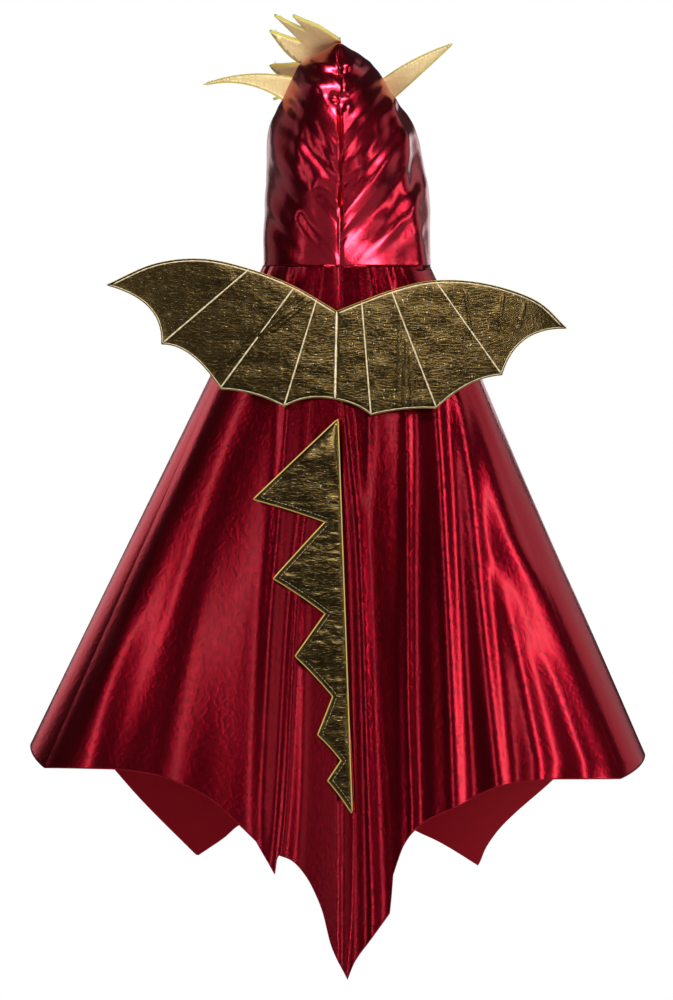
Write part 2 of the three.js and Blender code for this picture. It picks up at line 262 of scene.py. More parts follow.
FOIL_RED = red_foil("foil_red", 0.10, 0.12, RED)
HOOD_RED = red_foil("foil_red_hood", 0.45, 0.10, RED_PINK_HIGHLIGHT_TINT)
WRONG_SIDE = red_wrong_side()
print("red finishes:", FOIL_RED.name, HOOD_RED.name, WRONG_SIDE.name)

# %% [markdown]
# The gold trims are a foil on thin foam, crazed all over by fine creases. A deep bump would only make
# it noisy. So the ground is painted shade, a dark gold, and painted glints of bright gold lie on it at
# random where creases would catch the light. The grain runs sideways on the left wing and the fin, and
# upright on the right wing.

# %% Gold foil
# Painted light in the foil's colour: a dark gold for painted shade, a bright gold for painted glints.
GOLD_PAINTED_SHADE, GOLD_PAINTED_SHADE_DEEP, GOLD_PAINTED_GLINT = (0.21, 0.136, 0.046, 1), (0.10, 0.064, 0.020, 1), (1.0, 0.76, 0.40, 1)
GLINT_START, GLINT_EDGE = 0.56, 7  # how much of the grain is a painted glint, and how sharply a glint begins


def gold_foil(name, across, along):
    finish = Finish(name, Metallic=1.0, Coat_Weight=0.1, Coat_Roughness=0.2)
    cloud = finish.grain(60, 60, 3.0)
    glint_grain = finish.grain(across, along, 4.0)
    # The ground is painted shade, with painted glints of bright gold where the grain is high.
    ground = finish.mix(cloud, GOLD_PAINTED_SHADE, GOLD_PAINTED_SHADE_DEEP)
    bright = (glint_grain - GLINT_START - 0.10 * cloud) * GLINT_EDGE
    finish.set("Base Color", finish.mix(bright, ground, GOLD_PAINTED_GLINT))
    finish.set("Roughness", 0.20 + 0.10 * glint_grain)
    wrinkle = finish.ridged(finish.grain(70, 260, 2.0), 7)
    finish.bump(wrinkle * 0.45 + glint_grain * 0.42, 0.00024)
    return finish.material


FOIL_GOLD = gold_foil("foil_gold", 150, 620)
FOIL_GOLD_UPRIGHT = gold_foil("foil_gold_upright", 560, 130)
print("gold finishes:", FOIL_GOLD.name, FOIL_GOLD_UPRIGHT.name)

# %% [markdown]
# Horns and crest are the same gold foil, and their pale colour is a painted reflection of the bright
# room they face: less of a mirror, with lengthwise wrinkles. Every cut edge shows the foam, which is
# full of small cells and matt.

# %% Pale backing and foam
# Painted reflection: a pale copy of the gold, as light as the foil looks where it reflects the bright room.
PALE_GOLD_PAINTED, PALE_GOLD_PAINTED_DEEP = (0.88, 0.70, 0.35, 1), (0.72, 0.54, 0.23, 1)


def pale_gold_painted_reflection():
    finish = Finish("foil_tan", Metallic=0.3, Sheen_Weight=0.2)
    cloud = finish.grain(120, 60, 3.0)
    finish.set("Base Color", finish.mix(cloud, PALE_GOLD_PAINTED, PALE_GOLD_PAINTED_DEEP))
    finish.set("Roughness", 0.38 + 0.15 * cloud)
    wrinkle = finish.ridged(finish.grain(140, 60, 3.0), 5)
    finish.bump(wrinkle * 0.6 + 0.05 * finish.grain(1500, 1500), 0.0004)
    return finish.material


def foam(name, colour):
    finish = Finish(name, Roughness=0.85, Subsurface_Weight=0.15, Subsurface_Scale=0.002)
    cells = finish.grain(2200, 2200, 2.0)
    finish.set("Base Color", finish.mix(cells, colour, darker(colour, 0.72)))
    finish.bump(cells, 0.0003)
    return finish.material


FOIL_GOLD_PAINTED_PALE = pale_gold_painted_reflection()
FOAM_GOLD = foam("foam_gold", (0.72, 0.50, 0.09, 1))
FOAM_YELLOW = foam("foam_yellow", (0.92, 0.80, 0.16, 1))
FOAM_AMBER = foam("foam_amber", (0.95, 0.66, 0.16, 1))
print("padding finishes:", [m.name for m in (FOIL_GOLD_PAINTED_PALE, FOAM_GOLD, FOAM_YELLOW, FOAM_AMBER)])

# %% [markdown]
# The stitching is a pale metallic thread with a twist. Tape and hook-and-loop are woven, and a band
# wave along the cloth's own coordinates gives their ribs.

# %% Thread, tape and hook-and-loop
def thread(name, colour, metallic):
    finish = Finish(name, Roughness=0.45, Metallic=metallic, Sheen_Weight=0.3)
    twist = finish.grain(1800, 600, 1.0)
    finish.set("Base Color", finish.mix(twist, colour, darker(colour, 0.6)))
    finish.bump(twist, 0.0002)
    return finish.material


def woven(name, colour, across, along, depth):
    finish = Finish(name, Roughness=0.8, Sheen_Weight=0.4)
    ribs = finish.node("TexWave", {"wave_type": "BANDS", "bands_direction": "X"}, {
        "Vector": finish.cloth_place(across, along), "Scale": 1.0, "Distortion": 0.4})
    finish.set("Base Color", finish.mix(ribs, colour, darker(colour, 0.55)))
    finish.bump(ribs, depth)
    return finish.material


THREAD_GOLD = thread("thread_gold", (1.0, 0.82, 0.50, 1), 0.5)
TAPE_RED = woven("tape_red", (0.20, 0.004, 0.012, 1), 260, 260, 0.0003)
HOOKS = woven("hook_and_loop", (0.10, 0.004, 0.010, 1), 620, 620, 0.0008)
print("sewn finishes:", THREAD_GOLD.name, TAPE_RED.name, HOOKS.name)

# %% [markdown]
# ## Making sheets of cloth
# Cloth could be a flat plane given thickness by a modifier. Here each panel is built at its full shape
# from arrays of points, because its folds and its hem are known exactly. Each mesh also gets a map of
# the cloth's own coordinates, which the finishes read.

# %% From points to a piece
def make_object(name, points, faces, materials, face_material, cloth):
    mesh = bpy.data.meshes.new(name)
    mesh.from_pydata(points.tolist(), [], faces.tolist() if isinstance(faces, np.ndarray) else faces)
    for material in materials:
        mesh.materials.append(material)
    mesh.polygons.foreach_set("material_index", np.asarray(face_material, dtype=np.int32))
    mesh.polygons.foreach_set("use_smooth", np.ones(len(mesh.polygons), dtype=bool))
    layer = mesh.uv_layers.new(name="cloth")
    corner = np.zeros(len(mesh.loops), dtype=np.int32)
    mesh.loops.foreach_get("vertex_index", corner)
    layer.data.foreach_set("uv", cloth[corner].astype(np.float32).ravel())
    mesh.update()
    piece = bpy.data.objects.new(name, mesh)
    bpy.context.scene.collection.objects.link(piece)
    return piece


def half_area(piece):
    """One side's area of a closed sheet, in square metres."""
    return sum(p.area for p in piece.data.polygons) / 2


def finish_as(node=None):
    """Hides the packed node that a piece stands for, if any."""
    if node:
        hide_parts(node)


print("meshes in the packed model:", len(bpy.data.meshes))

# %% [markdown]
# A panel is a grid of points on its outer face. A second grid just behind it is the wrong side, with
# a finish of its own, and a rim joins the two, so the panel is a closed sheet as thin as real cloth.

# %% A closed sheet from a grid
def surface_normals(grid):
    normal = np.cross(np.gradient(grid, axis=0), np.gradient(grid, axis=1))
    return normal / np.maximum(np.linalg.norm(normal, axis=2, keepdims=True), 1e-12)


def grid_lengths(grid):
    """Cloth coordinates in metres: the middle row's length across, and each column's length along."""
    across = np.linalg.norm(np.diff(grid, axis=0), axis=2)
    along = np.linalg.norm(np.diff(grid, axis=1), axis=2)
    middle = across[:, across.shape[1] // 2]
    u = np.r_[0, np.cumsum(middle)]
    v = np.concatenate([np.zeros((grid.shape[0], 1)), np.cumsum(along, axis=1)], axis=1)
    return np.stack([np.broadcast_to(u[:, None], v.shape), v], axis=2)


def cloth_sheet(name, grid, outward, thickness, materials):
    """A closed sheet whose outer face is grid. outward says which way each point of it faces."""
    normal = surface_normals(grid)
    middle = tuple(n // 2 for n in outward.shape[:2])
    if (normal[middle] * outward[middle]).sum() < 0:
        normal = -normal
        grid, normal = grid[::-1], normal[::-1]
    columns, rows = grid.shape[:2]
    count = columns * rows
    points = np.concatenate([grid.reshape(-1, 3), (grid - normal * thickness).reshape(-1, 3)])
    i, j = np.meshgrid(np.arange(columns - 1), np.arange(rows - 1), indexing="ij")
    a, b, c, d = [(i + p) * rows + j + q for p, q in ((0, 0), (1, 0), (1, 1), (0, 1))]
    outer = np.stack([a, b, c, d], axis=2).reshape(-1, 4)
    inner = outer[:, ::-1] + count
    ring = np.r_[np.arange(rows - 1), (np.arange(columns - 1) * rows + rows - 1),
                 (columns * rows - 1 - np.arange(rows - 1)), ((columns - 1 - np.arange(columns - 1)) * rows)]
    after = np.roll(ring, -1)
    rim = np.stack([ring, after, after + count, ring + count], axis=1)
    faces = np.concatenate([outer, inner, rim])
    kinds = np.r_[np.zeros(len(outer)), np.ones(len(inner)), np.zeros(len(rim))]
    cloth = grid_lengths(grid).reshape(-1, 2)
    return make_object(name, points, faces, materials, kinds, np.concatenate([cloth, cloth]))


CLOTH = 0.6 * MM
print("thickness of the cloth:", CLOTH / MM, "mm")

# %% [markdown]
# ## The cape
# Four panels hang from the neck seam. Each stands on straight lines from the seam to the hem, like a
# cone. The hem is cut in bat-like scallops, so its drop is a line drawn round the body: smooth
# stretches that meet in corners, in millimetres below the seam against degrees from the centre back.

# %% Sizes of the cape and its hem
NECK_LEFT, NECK_RIGHT, NECK_DEPTH = 92 * MM, 108 * MM, 80 * MM
HEM_REACH, HEM_MIDDLE = 369 * MM, -3 * MM
BACK_SLOPE, FRONT_SLOPE = 0.115, 0.07
FRONT_EDGE, SIDE_LINE = 171.0, 91.0


def hem(*stretches):
    """Smooth stretches joined end to end: the hem has a corner where one ends and the next begins."""
    parts = [(stretch[0][0], curve(stretch)) for stretch in stretches]

    def drop(angle):
        value = parts[0][1](angle)
        for start, part in parts[1:]:
            value = np.where(angle >= start, part(angle), value)
        return value

    return drop


hem_left = hem([[0, 856], [3.4, 816], [5.6, 769], [8.3, 731], [10.8, 712], [12.7, 707]],
               [[12.7, 707], [13.1, 731]], [[13.1, 731], [16.4, 691]],
               [[16.4, 691], [20, 668], [25, 640], [30, 624], [37, 611], [48, 605], [66, 604], [72, 604]],
               [[72, 604], [90, 576]], [[90, 576], [100, 584], [120, 595], [132.8, 604]],
               [[132.8, 604], [148.7, 689], [152.8, 712]],
               [[152.8, 712], [158.3, 690], [161, 676], [172, 642]])
hem_right = hem([[0, 856], [1.1, 835], [3.9, 808], [7.7, 776]], [[7.7, 776], [8.2, 731]],
                [[8.2, 731], [10.5, 695], [12.5, 680], [17.1, 662], [23.6, 646], [31, 626], [37.4, 620],
                 [45.5, 617], [65, 617]],
                [[65, 617], [90, 588]], [[90, 588], [100, 594], [120, 606], [134, 616]],
                [[134, 616], [146.8, 673], [150.7, 701], [152.4, 724]],
                [[152.4, 724], [160.5, 695], [165.6, 680], [172, 650]])
centre_drift = curve([[0, 0], [186, 0], [400, 3], [656, 19], [760, 18], [856, 12]])  # the seam wanders right
print("the tail hangs", float(hem_left(0.0)), "mm below the neck seam, the sides", float(hem_left(90.0)))


def cape_points(angle, fall):
    """Points on the cone of the cape, for an angle from the centre back and a share of the way down."""
    a = np.radians(angle)
    drop = np.where(angle < 0, hem_left(-angle), hem_right(angle)) * MM
    slope = np.where(np.cos(a) > 0, BACK_SLOPE, FRONT_SLOPE)
    neck = np.where(angle < 0, NECK_LEFT, NECK_RIGHT)
    x = (1 - fall) * neck * np.sin(a) + fall * (HEM_MIDDLE + HEM_REACH * np.sin(a))
    z = -fall * drop
    x = x + centre_drift(-z / MM) * MM * np.exp(-((angle / 16) ** 2))
    y = -(NECK_DEPTH + slope * fall * drop) * np.cos(a)
    return np.stack([x, y, z], axis=-1)


# %% [markdown]
# The folds are laid over the cone as long ridges. A cloth simulation would find folds of its own, and
# this cape is known by the ones it has. So each fold is a list of places down its line, then its width
# and its height at the top and at the foot, in millimetres, as a draper would pin it.

# %% Folds of the back
BACK_FOLDS = [
    ([(-90, -60), (-150, -250), (-180, -376), (-206, -620)], (22, 36), (1, 3.5)),
    ([(-250, -420), (-275, -500), (-300, -600)], (12, 20), (1, 3)),
    ([(-56, -20), (-62, -172), (-74, -330), (-82, -422), (-92, -640)], (9, 13), (4, 3)),
    ([(-30, -200), (-40, -300), (-50, -389), (-62, -642), (-70, -735)], (7, 12), (0.5, 7)),
    ([(2, -140), (8, -192), (20, -324), (31, -587), (36, -760)], (7, 12), (3, 5)),
    ([(30, -150), (33, -182), (27, -330)], (7, 9), (2, 1)),
    ([(60, -120), (80, -186), (80, -498), (84, -650)], (6, 9), (2, 3)),
    ([(84, -20), (112, -175), (124, -422), (132, -640)], (12, 18), (7, 8)),
    ([(98, -30), (142, -192), (174, -504), (186, -625)], (10, 17), (4, 6)),
    ([(104, -10), (158, -152), (204, -324), (250, -406), (298, -521), (328, -596)], (18, 28), (4, 8)),
    ([(170, -340), (192, -389), (232, -594)], (10, 19), (0.5, 6)),
    ([(226, -440), (250, -488), (288, -596)], (11, 15), (0.5, 4)),
]


def fold_height(x, z, folds):
    """How far the folds lift the cloth, in metres, at places x, z in metres."""
    lift = np.zeros_like(x)
    for line, widths, heights in folds:
        line = sorted(line, key=lambda p: -p[1])
        depth = [-p[1] * MM for p in line]
        down = np.clip((-z - depth[0]) / (depth[-1] - depth[0]), 0, 1)
        middle = curve([[d, p[0] * MM] for d, p in zip(depth, line)])(-z)
        width = (widths[0] + (widths[1] - widths[0]) * down) * MM
        height = (heights[0] + (heights[1] - heights[0]) * down) * MM
        start = smoothstep(-z, depth[0] - 0.03, depth[0] + 0.05)
        lift += height * start * np.exp(-(((x - middle) / width) ** 2))
    return lift


print(len(BACK_FOLDS), "folds, the highest", max(max(heights) for *_, heights in BACK_FOLDS), "mm")

# %% [markdown]
# Between the folds the cloth sways a little, ripples finely and is gathered close to the seam. The
# middle seam draws in a narrow groove. The first row of points is tucked in under the hood's cloth.

# %% One panel's points
SWAY, RIPPLE, GATHER, SEAM_GROOVE, TUCK = 0.006, 0.0006, 0.0032, -0.0012, -0.004  # most lift of each, metres


def cape_grid(start, end, columns, rows, folds):
    angle, fall = np.meshgrid(np.linspace(start, end, columns), np.linspace(0, 1, rows), indexing="ij")
    base = cape_points(angle, fall)
    a = np.radians(angle)
    outward = np.stack([np.sin(a), -np.cos(a), np.zeros_like(a)], axis=-1)
    lift = fold_height(base[..., 0], base[..., 2], folds)
    sway = SWAY * fall**0.7 * (noise(angle / 16 + 30, fall * 1.3, 11) - 0.6)
    ripple = RIPPLE * fall**0.5 * (noise(angle / 5 + 40, fall * 3.1 + 5, 12) - 0.5)
    gather = GATHER * np.exp(-((fall / 0.08) ** 2)) * (noise(angle / 6 + 40, fall * 3, 13) - 0.5)
    from_seam = np.abs(base[..., 0]) / MM
    groove = SEAM_GROOVE * np.exp(-((from_seam / 2.2) ** 2)) * (np.abs(angle) < 30)
    grid = base + outward * (lift + sway + ripple + gather + groove)[..., None]
    return np.concatenate([grid[:, :1] + TUCK * outward[:, :1], grid], axis=1), outward


print("points of a small panel:", cape_grid(0, 20, 8, 6, [])[0].shape)

# %% [markdown]
# The two back panels carry the folds, and the two front ones hang smooth from the shoulders. Each was
# cut flat from a piece as long as itself, and its outline used about three fifths of that piece.

# %% The four cape panels
CAPE_PANELS = {
    "cape_left_back_panel": (-SIDE_LINE, 0.0, 300, BACK_FOLDS),
    "cape_right_back_panel": (0.0, SIDE_LINE, 300, BACK_FOLDS),
    "cape_left_front_panel": (-FRONT_EDGE, -SIDE_LINE, 170, []),
    "cape_right_front_panel": (SIDE_LINE, FRONT_EDGE, 170, []),
}
PANEL_ROWS = 260
FLAT_LENGTHS = {"back": 0.86, "front": 0.72}
CUT_SHARE = 0.62
cape = {}
for panel, (start, end, columns, folds) in CAPE_PANELS.items():
    grid, outward = cape_grid(start, end, columns, PANEL_ROWS, folds)
    cape[panel] = cloth_sheet(panel + "_cloth", grid, outward, CLOTH, [FOIL_RED, WRONG_SIDE])
    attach(cape[panel], "cape")
    finish_as(panel)
    area = half_area(cape[panel])
    length = FLAT_LENGTHS["front" if "front" in panel else "back"]
    width = area / CUT_SHARE / length
    print(panel, "cloth area", round(area, 3), "m2")

# %% [markdown]
# ## The hood
# Two panels meet at a seam that runs from the nape over the crown to the forehead. Sections through
# the hood are wide round the head and close to a ridge at the top, so four curves against the height
# say it all: its left and right half widths, how far back it reaches and where its face edge is.

# %% Shape of the hood
HOOD_HEIGHT = 269 * MM
RIDGE_SLOPE, FRONT_REACH = 0.6, 92 * MM
hood_left = curve([[0, 92], [95, 90], [145, 88], [174, 85], [205, 73], [227, 63], [245, 53], [258, 30],
                   [269, 1]])
hood_right = curve([[0, 108], [60, 108], [112, 104], [152, 97], [180, 86], [197, 72], [210, 61], [227, 54],
                    [245, 45], [258, 22], [269, 1]])
hood_back = curve([[0, -80], [60, -97], [110, -102], [170, -92], [215, -70], [245, -46], [269, -22]])
hood_face = curve([[0, 165], [40, 146], [90, 128], [150, 118], [220, 114], [269, 112]])


def hood_points(height, share, side):
    """Points on the hood: height from 0 at the neck to 1 along the ridge, share from seam to face edge."""
    level = height * HOOD_HEIGHT / MM
    a = np.radians(share * hood_face(level))
    back = hood_back(level)
    reach = NECK_DEPTH / MM + (FRONT_REACH - NECK_DEPTH) / MM * np.minimum(1, level / 90)
    spread = -np.cos(np.radians(hood_face(level)))
    y = (back + (reach - back) / (1 + spread) * (1 - np.cos(a))) * MM
    half_width = (hood_left if side < 0 else hood_right)(level) * MM
    z = height * (HOOD_HEIGHT - RIDGE_SLOPE * np.clip(y, 0, None))
    return np.stack([side * half_width * np.sin(a), y, z], axis=-1)


print("top of the hood:", [round(float(v) / MM) for v in hood_points(np.float64(1), np.float64(0), 1)], "mm")

# %% [markdown]
# The seam is tighter than the cloth, so the cloth puckers beside it and long soft folds run down to it.
# One long fold stands on the right. Puffs and dimples lie where the seam is gathered most: each is a
# place, a reach across, a reach up and a height, in millimetres.

# %% Folds and puffs of the hood
HOOD_FOLDS = [([(47, 224), (60, 190), (74, 144), (84, 66), (95, 4)], (7, 10), (4, 6))]
HOOD_PUFFS = [
    (-18, 240, 16, 6, 2.5), (13, 237, 12, 6, 3.5), (-3, 231, 10, 4, -3.0), (-24, 214, 15, 9, 4.5),
    (14, 215, 14, 8, 3.0), (-7, 203, 6, 5, -3.5), (6, 207, 5, 4, 3.0), (-5, 193, 5, 4, 2.0),
    (9, 190, 5, 7, 2.5),
    (-48, 150, 7, 26, 3.0), (-30, 95, 9, 10, 3.0), (-52, 60, 8, 12, 3.0),
]
SOFT, CRUMPLE, PUCKER, CROWN_GROOVE = 0.012, 0.0045, 0.0024, -0.0014  # most lift of each, in metres
TURNED_IN = ((1.2, 5), (0.9, 1))  # the raw edge at the neck: inwards and down, in mm


def hood_grid(side, columns, rows, seed):
    share, height = np.meshgrid(np.linspace(0, 1, columns), np.linspace(0, 1, rows), indexing="ij")
    base = hood_points(height, share, side)
    normal = surface_normals(base)
    outward = base - np.array([0, 0, 0.1])
    if (normal * outward).sum() < 0:
        normal = -normal
    lift = fold_height(base[..., 0], base[..., 2], HOOD_FOLDS) * (base[..., 1] < 0.03)
    x, z = base[..., 0] * side / MM, base[..., 2] / MM
    behind = 1 - smoothstep(base[..., 1] / MM, -45, 15)
    puffs = sum(h * np.exp(-(((side * x - px) / wx) ** 2) - (((z - pz) / wz) ** 2))
                for px, pz, wx, wz, h in HOOD_PUFFS) * MM
    run = z - 1.3 * x
    soft = SOFT * (noise(run / 46 + 20, (z + x) / 170 + 3, seed + 1) - 0.5) * smoothstep(z, 5, 50)
    crumple = CRUMPLE * (noise(run / 19 + 20, (z + x) / 90, seed + 2) - 0.5) * smoothstep(z, 0, 60)
    pucker = PUCKER * np.exp(-x / 14) * (noise(run / 9 + 20, x / 26, seed) - 0.5)
    groove = CROWN_GROOVE * np.exp(-((x / 2.6) ** 2))
    settle = smoothstep(x, 0, 4) * smoothstep(z, 0, 10) * (0.25 + 0.75 * behind)
    grid = base + normal * (lift + settle * (pucker + soft + crumple) + puffs * behind + groove)[..., None]
    flat = outward[:, :1] * (1, 1, 0)
    flat /= np.linalg.norm(flat, axis=2, keepdims=True)
    turned = [grid[:, :1] - flat * inset * MM - (0, 0, down * MM) for inset, down in TURNED_IN]
    return np.concatenate([*turned, grid], axis=1), outward


print(len(HOOD_PUFFS), "puffs")

# %% [markdown]
# The hood tips back on the neck seam. Each panel was cut from a piece 340 mm long, and uses about four
# fifths of it.

# %% The two hood panels
hood = {}
for panel, side, seed in (("hood_left_panel", -1, 21), ("hood_right_panel", 1, 22)):
    grid, outward = hood_grid(side, 260, 230, seed)
    hood[panel] = cloth_sheet(panel + "_cloth", grid, outward, CLOTH, [HOOD_RED, WRONG_SIDE])
    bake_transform(hood[panel])
    finish_as(panel)
    area = half_area(hood[panel])
    print(panel, "cloth area", round(area, 3), "m2")

# %% [markdown]
# ## Padded trims
# A trim is cut from foil, foam and foil over one outline, and the outline is drawn flat, in the plane of
# the piece. Points of a trim are sharp, so straight lines and curves are joined end to end, and later
# steps keep every corner.

# %% Lines and outlines
def bezier(start, control, end, count):
    t = np.linspace(0, 1, count, endpoint=False)[:, None]
    start, control, end = (np.array(p, float) for p in (start, control, end))
    return (1 - t) ** 2 * start + 2 * t * (1 - t) * control + t**2 * end


def spline(points, count):
    """A smooth line through the points, without its last one."""
    points = np.array(points, float)
    path = run_along(points)
    at = np.linspace(0, path[-1], count, endpoint=False)
    padded = np.vstack([2 * points[0] - points[1], points, 2 * points[-1] - points[-2]])
    i = np.clip(np.searchsorted(path, at, side="right") - 1, 0, len(points) - 2)
    s = ((at - path[i]) / (path[i + 1] - path[i]))[:, None]
    a, b, c, d = padded[i], padded[i + 1], padded[i + 2], padded[i + 3]
    return 0.5 * (2 * b + (c - a) * s + (2 * a - 5 * b + 4 * c - d) * s**2 + (3 * b - a - 3 * c + d) * s**3)


def resample(loop, step):
    """The closed outline with a point about every step, keeping its corners."""
    out = []
    for p, q in zip(loop, np.roll(loop, -1, axis=0)):
        pieces = max(1, int(round(np.linalg.norm(q - p) / step)))
        out.append(p + (q - p) * np.arange(pieces)[:, None] / pieces)
    return np.concatenate(out)


def signed_area(loop):
    x, y = loop.T
    return 0.5 * (x * np.roll(y, -1) - np.roll(x, -1) * y).sum()


SQUARE = resample(np.array([[0, 0], [10, 0], [10, 10], [0, 10]], float), 2.5)
print("points round a square of", signed_area(SQUARE), "mm2:", len(SQUARE))

# %% [markdown]
# One flat face over an outline can't hold wrinkles. A fine mesh of triangles fills it instead, evenly,
# so that wrinkles and the sewn-down edge can be real shape. The distance to the edge says where the
# edge presses the padding down.

# %% Filling an outline with triangles
def edge_distance(points, loop):
    """Distance from each point to the closed outline."""
    best = np.full(len(points), 1e9)
    for p, q in zip(loop, np.roll(loop, -1, axis=0)):
        along = q - p
        t = np.clip(((points - p) @ along) / max(along @ along, 1e-9), 0, 1)[:, None]
        best = np.minimum(best, np.linalg.norm(points - (p + t * along), axis=1))
    return best


def filled(loop, step):
    """Points and triangles that fill an outline, both in its plane."""
    low, high = loop.min(0), loop.max(0)
    row = step * 0.866
    ys = np.arange(low[1], high[1], row)
    rows = [np.arange(low[0] + (k % 2) * step / 2, high[0], step) for k in range(len(ys))]
    grid = np.concatenate([np.stack([xs, np.full(len(xs), y)], axis=1) for xs, y in zip(rows, ys)])
    grid = grid[edge_distance(grid, loop) > 0.45 * step]
    points = [Vector(p) for p in np.concatenate([loop, grid])]
    ring = [(i, (i + 1) % len(loop)) for i in range(len(loop))]
    verts, _, faces, *_ = delaunay_2d_cdt(points, ring, [list(range(len(loop)))], 1, 1e-6)
    verts = np.array([tuple(v) for v in verts])
    faces = np.array([f for f in faces if len(f) == 3])
    centre = verts[faces].mean(1)
    return verts, faces[inside(centre, loop)]


def inside(points, loop):
    """Which points lie inside the closed outline."""
    x, y = points[:, 0], points[:, 1]
    result = np.zeros(len(points), bool)
    for p, q in zip(loop, np.roll(loop, -1, axis=0)):
        crosses = (p[1] > y) != (q[1] > y)
        at = p[0] + (y - p[1]) / (q[1] - p[1] + 1e-12) * (q[0] - p[0])
        result ^= crosses & (x < at)
    return result


print("triangles in the square:", len(filled(SQUARE, 2.5)[1]))

# %% [markdown]
# A skin is filled that way and lifted off the foam by its relief, which is any function of the place
# and the distance to the edge. Its other face lies flat on the foam, and a rim closes it.

# %% A foil skin
SKIN_OFFSET, SKIN, FOAM_HALF = 1.9, 0.5, 1.5


def skin_piece(name, loop, step, place, offset, relief, material):
    """A foil skin over the outline. relief(x, z, distance to the edge) lifts it off the foam, in mm."""
    flat, faces = filled(resample(loop, step), step)
    lift = relief(flat[:, 0], flat[:, 1], edge_distance(flat, loop))
    sign = np.sign(offset)
    front = place(flat[:, 0], flat[:, 1], offset + sign * lift)
    back = place(flat[:, 0], flat[:, 1], offset - sign * SKIN + 0 * lift)
    count = len(flat)
    facing = np.cross(front[faces[0][1]] - front[faces[0][0]], front[faces[0][2]] - front[faces[0][0]])
    rest, raised = (place(flat[:1, 0], flat[:1, 1], np.array([depth])) for depth in (0.0, offset))
    if facing @ (raised - rest)[0] < 0:
        faces = faces[:, ::-1]
    edges = np.concatenate([faces[:, [0, 1]], faces[:, [1, 2]], faces[:, [2, 0]]])
    key = {tuple(e) for e in edges.tolist()}
    border = [(a, b) for a, b in key if (b, a) not in key]
    rim = [(b, a, a + count, b + count) for a, b in border]
    all_faces = faces.tolist() + (faces[:, ::-1] + count).tolist() + rim
    cloth = np.concatenate([flat, flat]) * MM
    points = np.concatenate([front, back])
    return make_object(name, points, all_faces, [material], np.zeros(len(all_faces)), cloth)


print("a trim is", 2 * SKIN_OFFSET, "mm thick before its skins are puffed up")

# %% [markdown]
# The foam shows only at its cut edge. So it is a ring of rounded layers round the outline, standing a
# little proud of the skins, and closed behind them.

# %% The foam's cut edge
def face_outward(piece):
    """Turns the faces round if the closed mesh is inside out."""
    shape = bmesh.new()
    shape.from_mesh(piece.data)
    bmesh.ops.recalc_face_normals(shape, faces=shape.faces)
    shape.to_mesh(piece.data)
    shape.free()


def foam_piece(name, loop, place, material, bulge=0.6):
    """The foam: its cut edge stands a little proud of the skins and is rounded."""
    ring = resample(loop, 3.0)
    tangent = np.roll(ring, -1, axis=0) - np.roll(ring, 1, axis=0)
    out = np.stack([tangent[:, 1], -tangent[:, 0]], axis=1)
    out /= np.maximum(np.linalg.norm(out, axis=1, keepdims=True), 1e-9)
    if signed_area(ring) < 0:
        out = -out
    layers = [(-1, -1.2), (-1, 0), (-0.5, 0.8 * bulge), (0, bulge), (0.5, 0.8 * bulge), (1, 0), (1, -1.2)]
    layers = [(FOAM_HALF * depth, grow) for depth, grow in layers]
    rows = [place(*(ring + out * grow).T, np.full(len(ring), depth)) for depth, grow in layers]
    points = np.concatenate(rows)
    count = len(ring)
    faces = []
    for k in range(len(layers)):
        base, above = k * count, ((k + 1) % len(layers)) * count
        for i in range(count):
            j = (i + 1) % count
            faces.append((base + i, base + j, above + j, above + i))
    run = run_along(ring)
    cloth = np.concatenate([np.stack([run, np.full(count, depth)], axis=1) for depth, _ in layers]) * MM
    piece = make_object(name, points, faces, [material], np.zeros(len(faces)), cloth)
    face_outward(piece)
    return piece


print("the foam is", 2 * FOAM_HALF, "mm thick")

# %% [markdown]
# Sewn ribs, cords and single stitches are all the same thing: a narrow ridge that follows a line on the
# outer skin, uneven like thread and thinner at its ends. So one function makes them all, and stitches
# are only a line cut into short pieces.

# %% Sewn ridges
def raised_lines(name, lines, place, depth, half_width, height):
    """Narrow sewn ridges along lines in the plane of a trim, standing on its outer skin, in mm."""
    points, faces, cloth = [], [], []
    profile_at = np.linspace(0, np.pi, 7)
    for line in lines:
        line = np.array(line, float)
        length = run_along(line)
        steps = max(6, int(length[-1] / 1.3))
        at = np.linspace(0, length[-1], steps)
        path = np.stack([np.interp(at, length, line[:, k]) for k in (0, 1)], axis=1)
        tangent = np.gradient(path, axis=0)
        side = np.stack([-tangent[:, 1], tangent[:, 0]], axis=1)
        side /= np.linalg.norm(side, axis=1, keepdims=True)
        uneven = 0.75 + 0.5 * noise(at / 2.2, at * 0 + 2, 5)
        taper = np.minimum(1, np.minimum(at + 0.8, length[-1] - at + 0.8) / 3)
        start = len(points)
        for turn in np.r_[profile_at, 3 * np.pi / 2]:
            shift = np.cos(turn) * half_width * uneven * taper
            rise = np.maximum(np.sin(turn), -0.3) * height * uneven * taper
            ring = place(*(path + side * shift[:, None]).T, depth - rise)
            points.extend(ring)
            cloth.extend(np.stack([at, np.full(steps, turn)], axis=1) * MM)
        rings = len(profile_at) + 1
        for k in range(rings):
            for i in range(steps - 1):
                a, b = start + k * steps + i, start + ((k + 1) % rings) * steps + i
                faces.append((a, a + 1, b + 1, b))
        faces.append([start + k * steps for k in range(rings)])
        faces.append([start + k * steps + steps - 1 for k in reversed(range(rings))])
    piece = make_object(name, np.array(points), faces, [THREAD_GOLD], np.zeros(len(faces)), np.array(cloth))
    face_outward(piece)
    return piece


print("ridges and stitches are sewn in", THREAD_GOLD.name)

# %% [markdown]
# A line of stitching runs inside the edge of a trim. Moving each point of the outline straight inwards
# would round off the corners, so they are mitred, as a seamstress turns a corner.

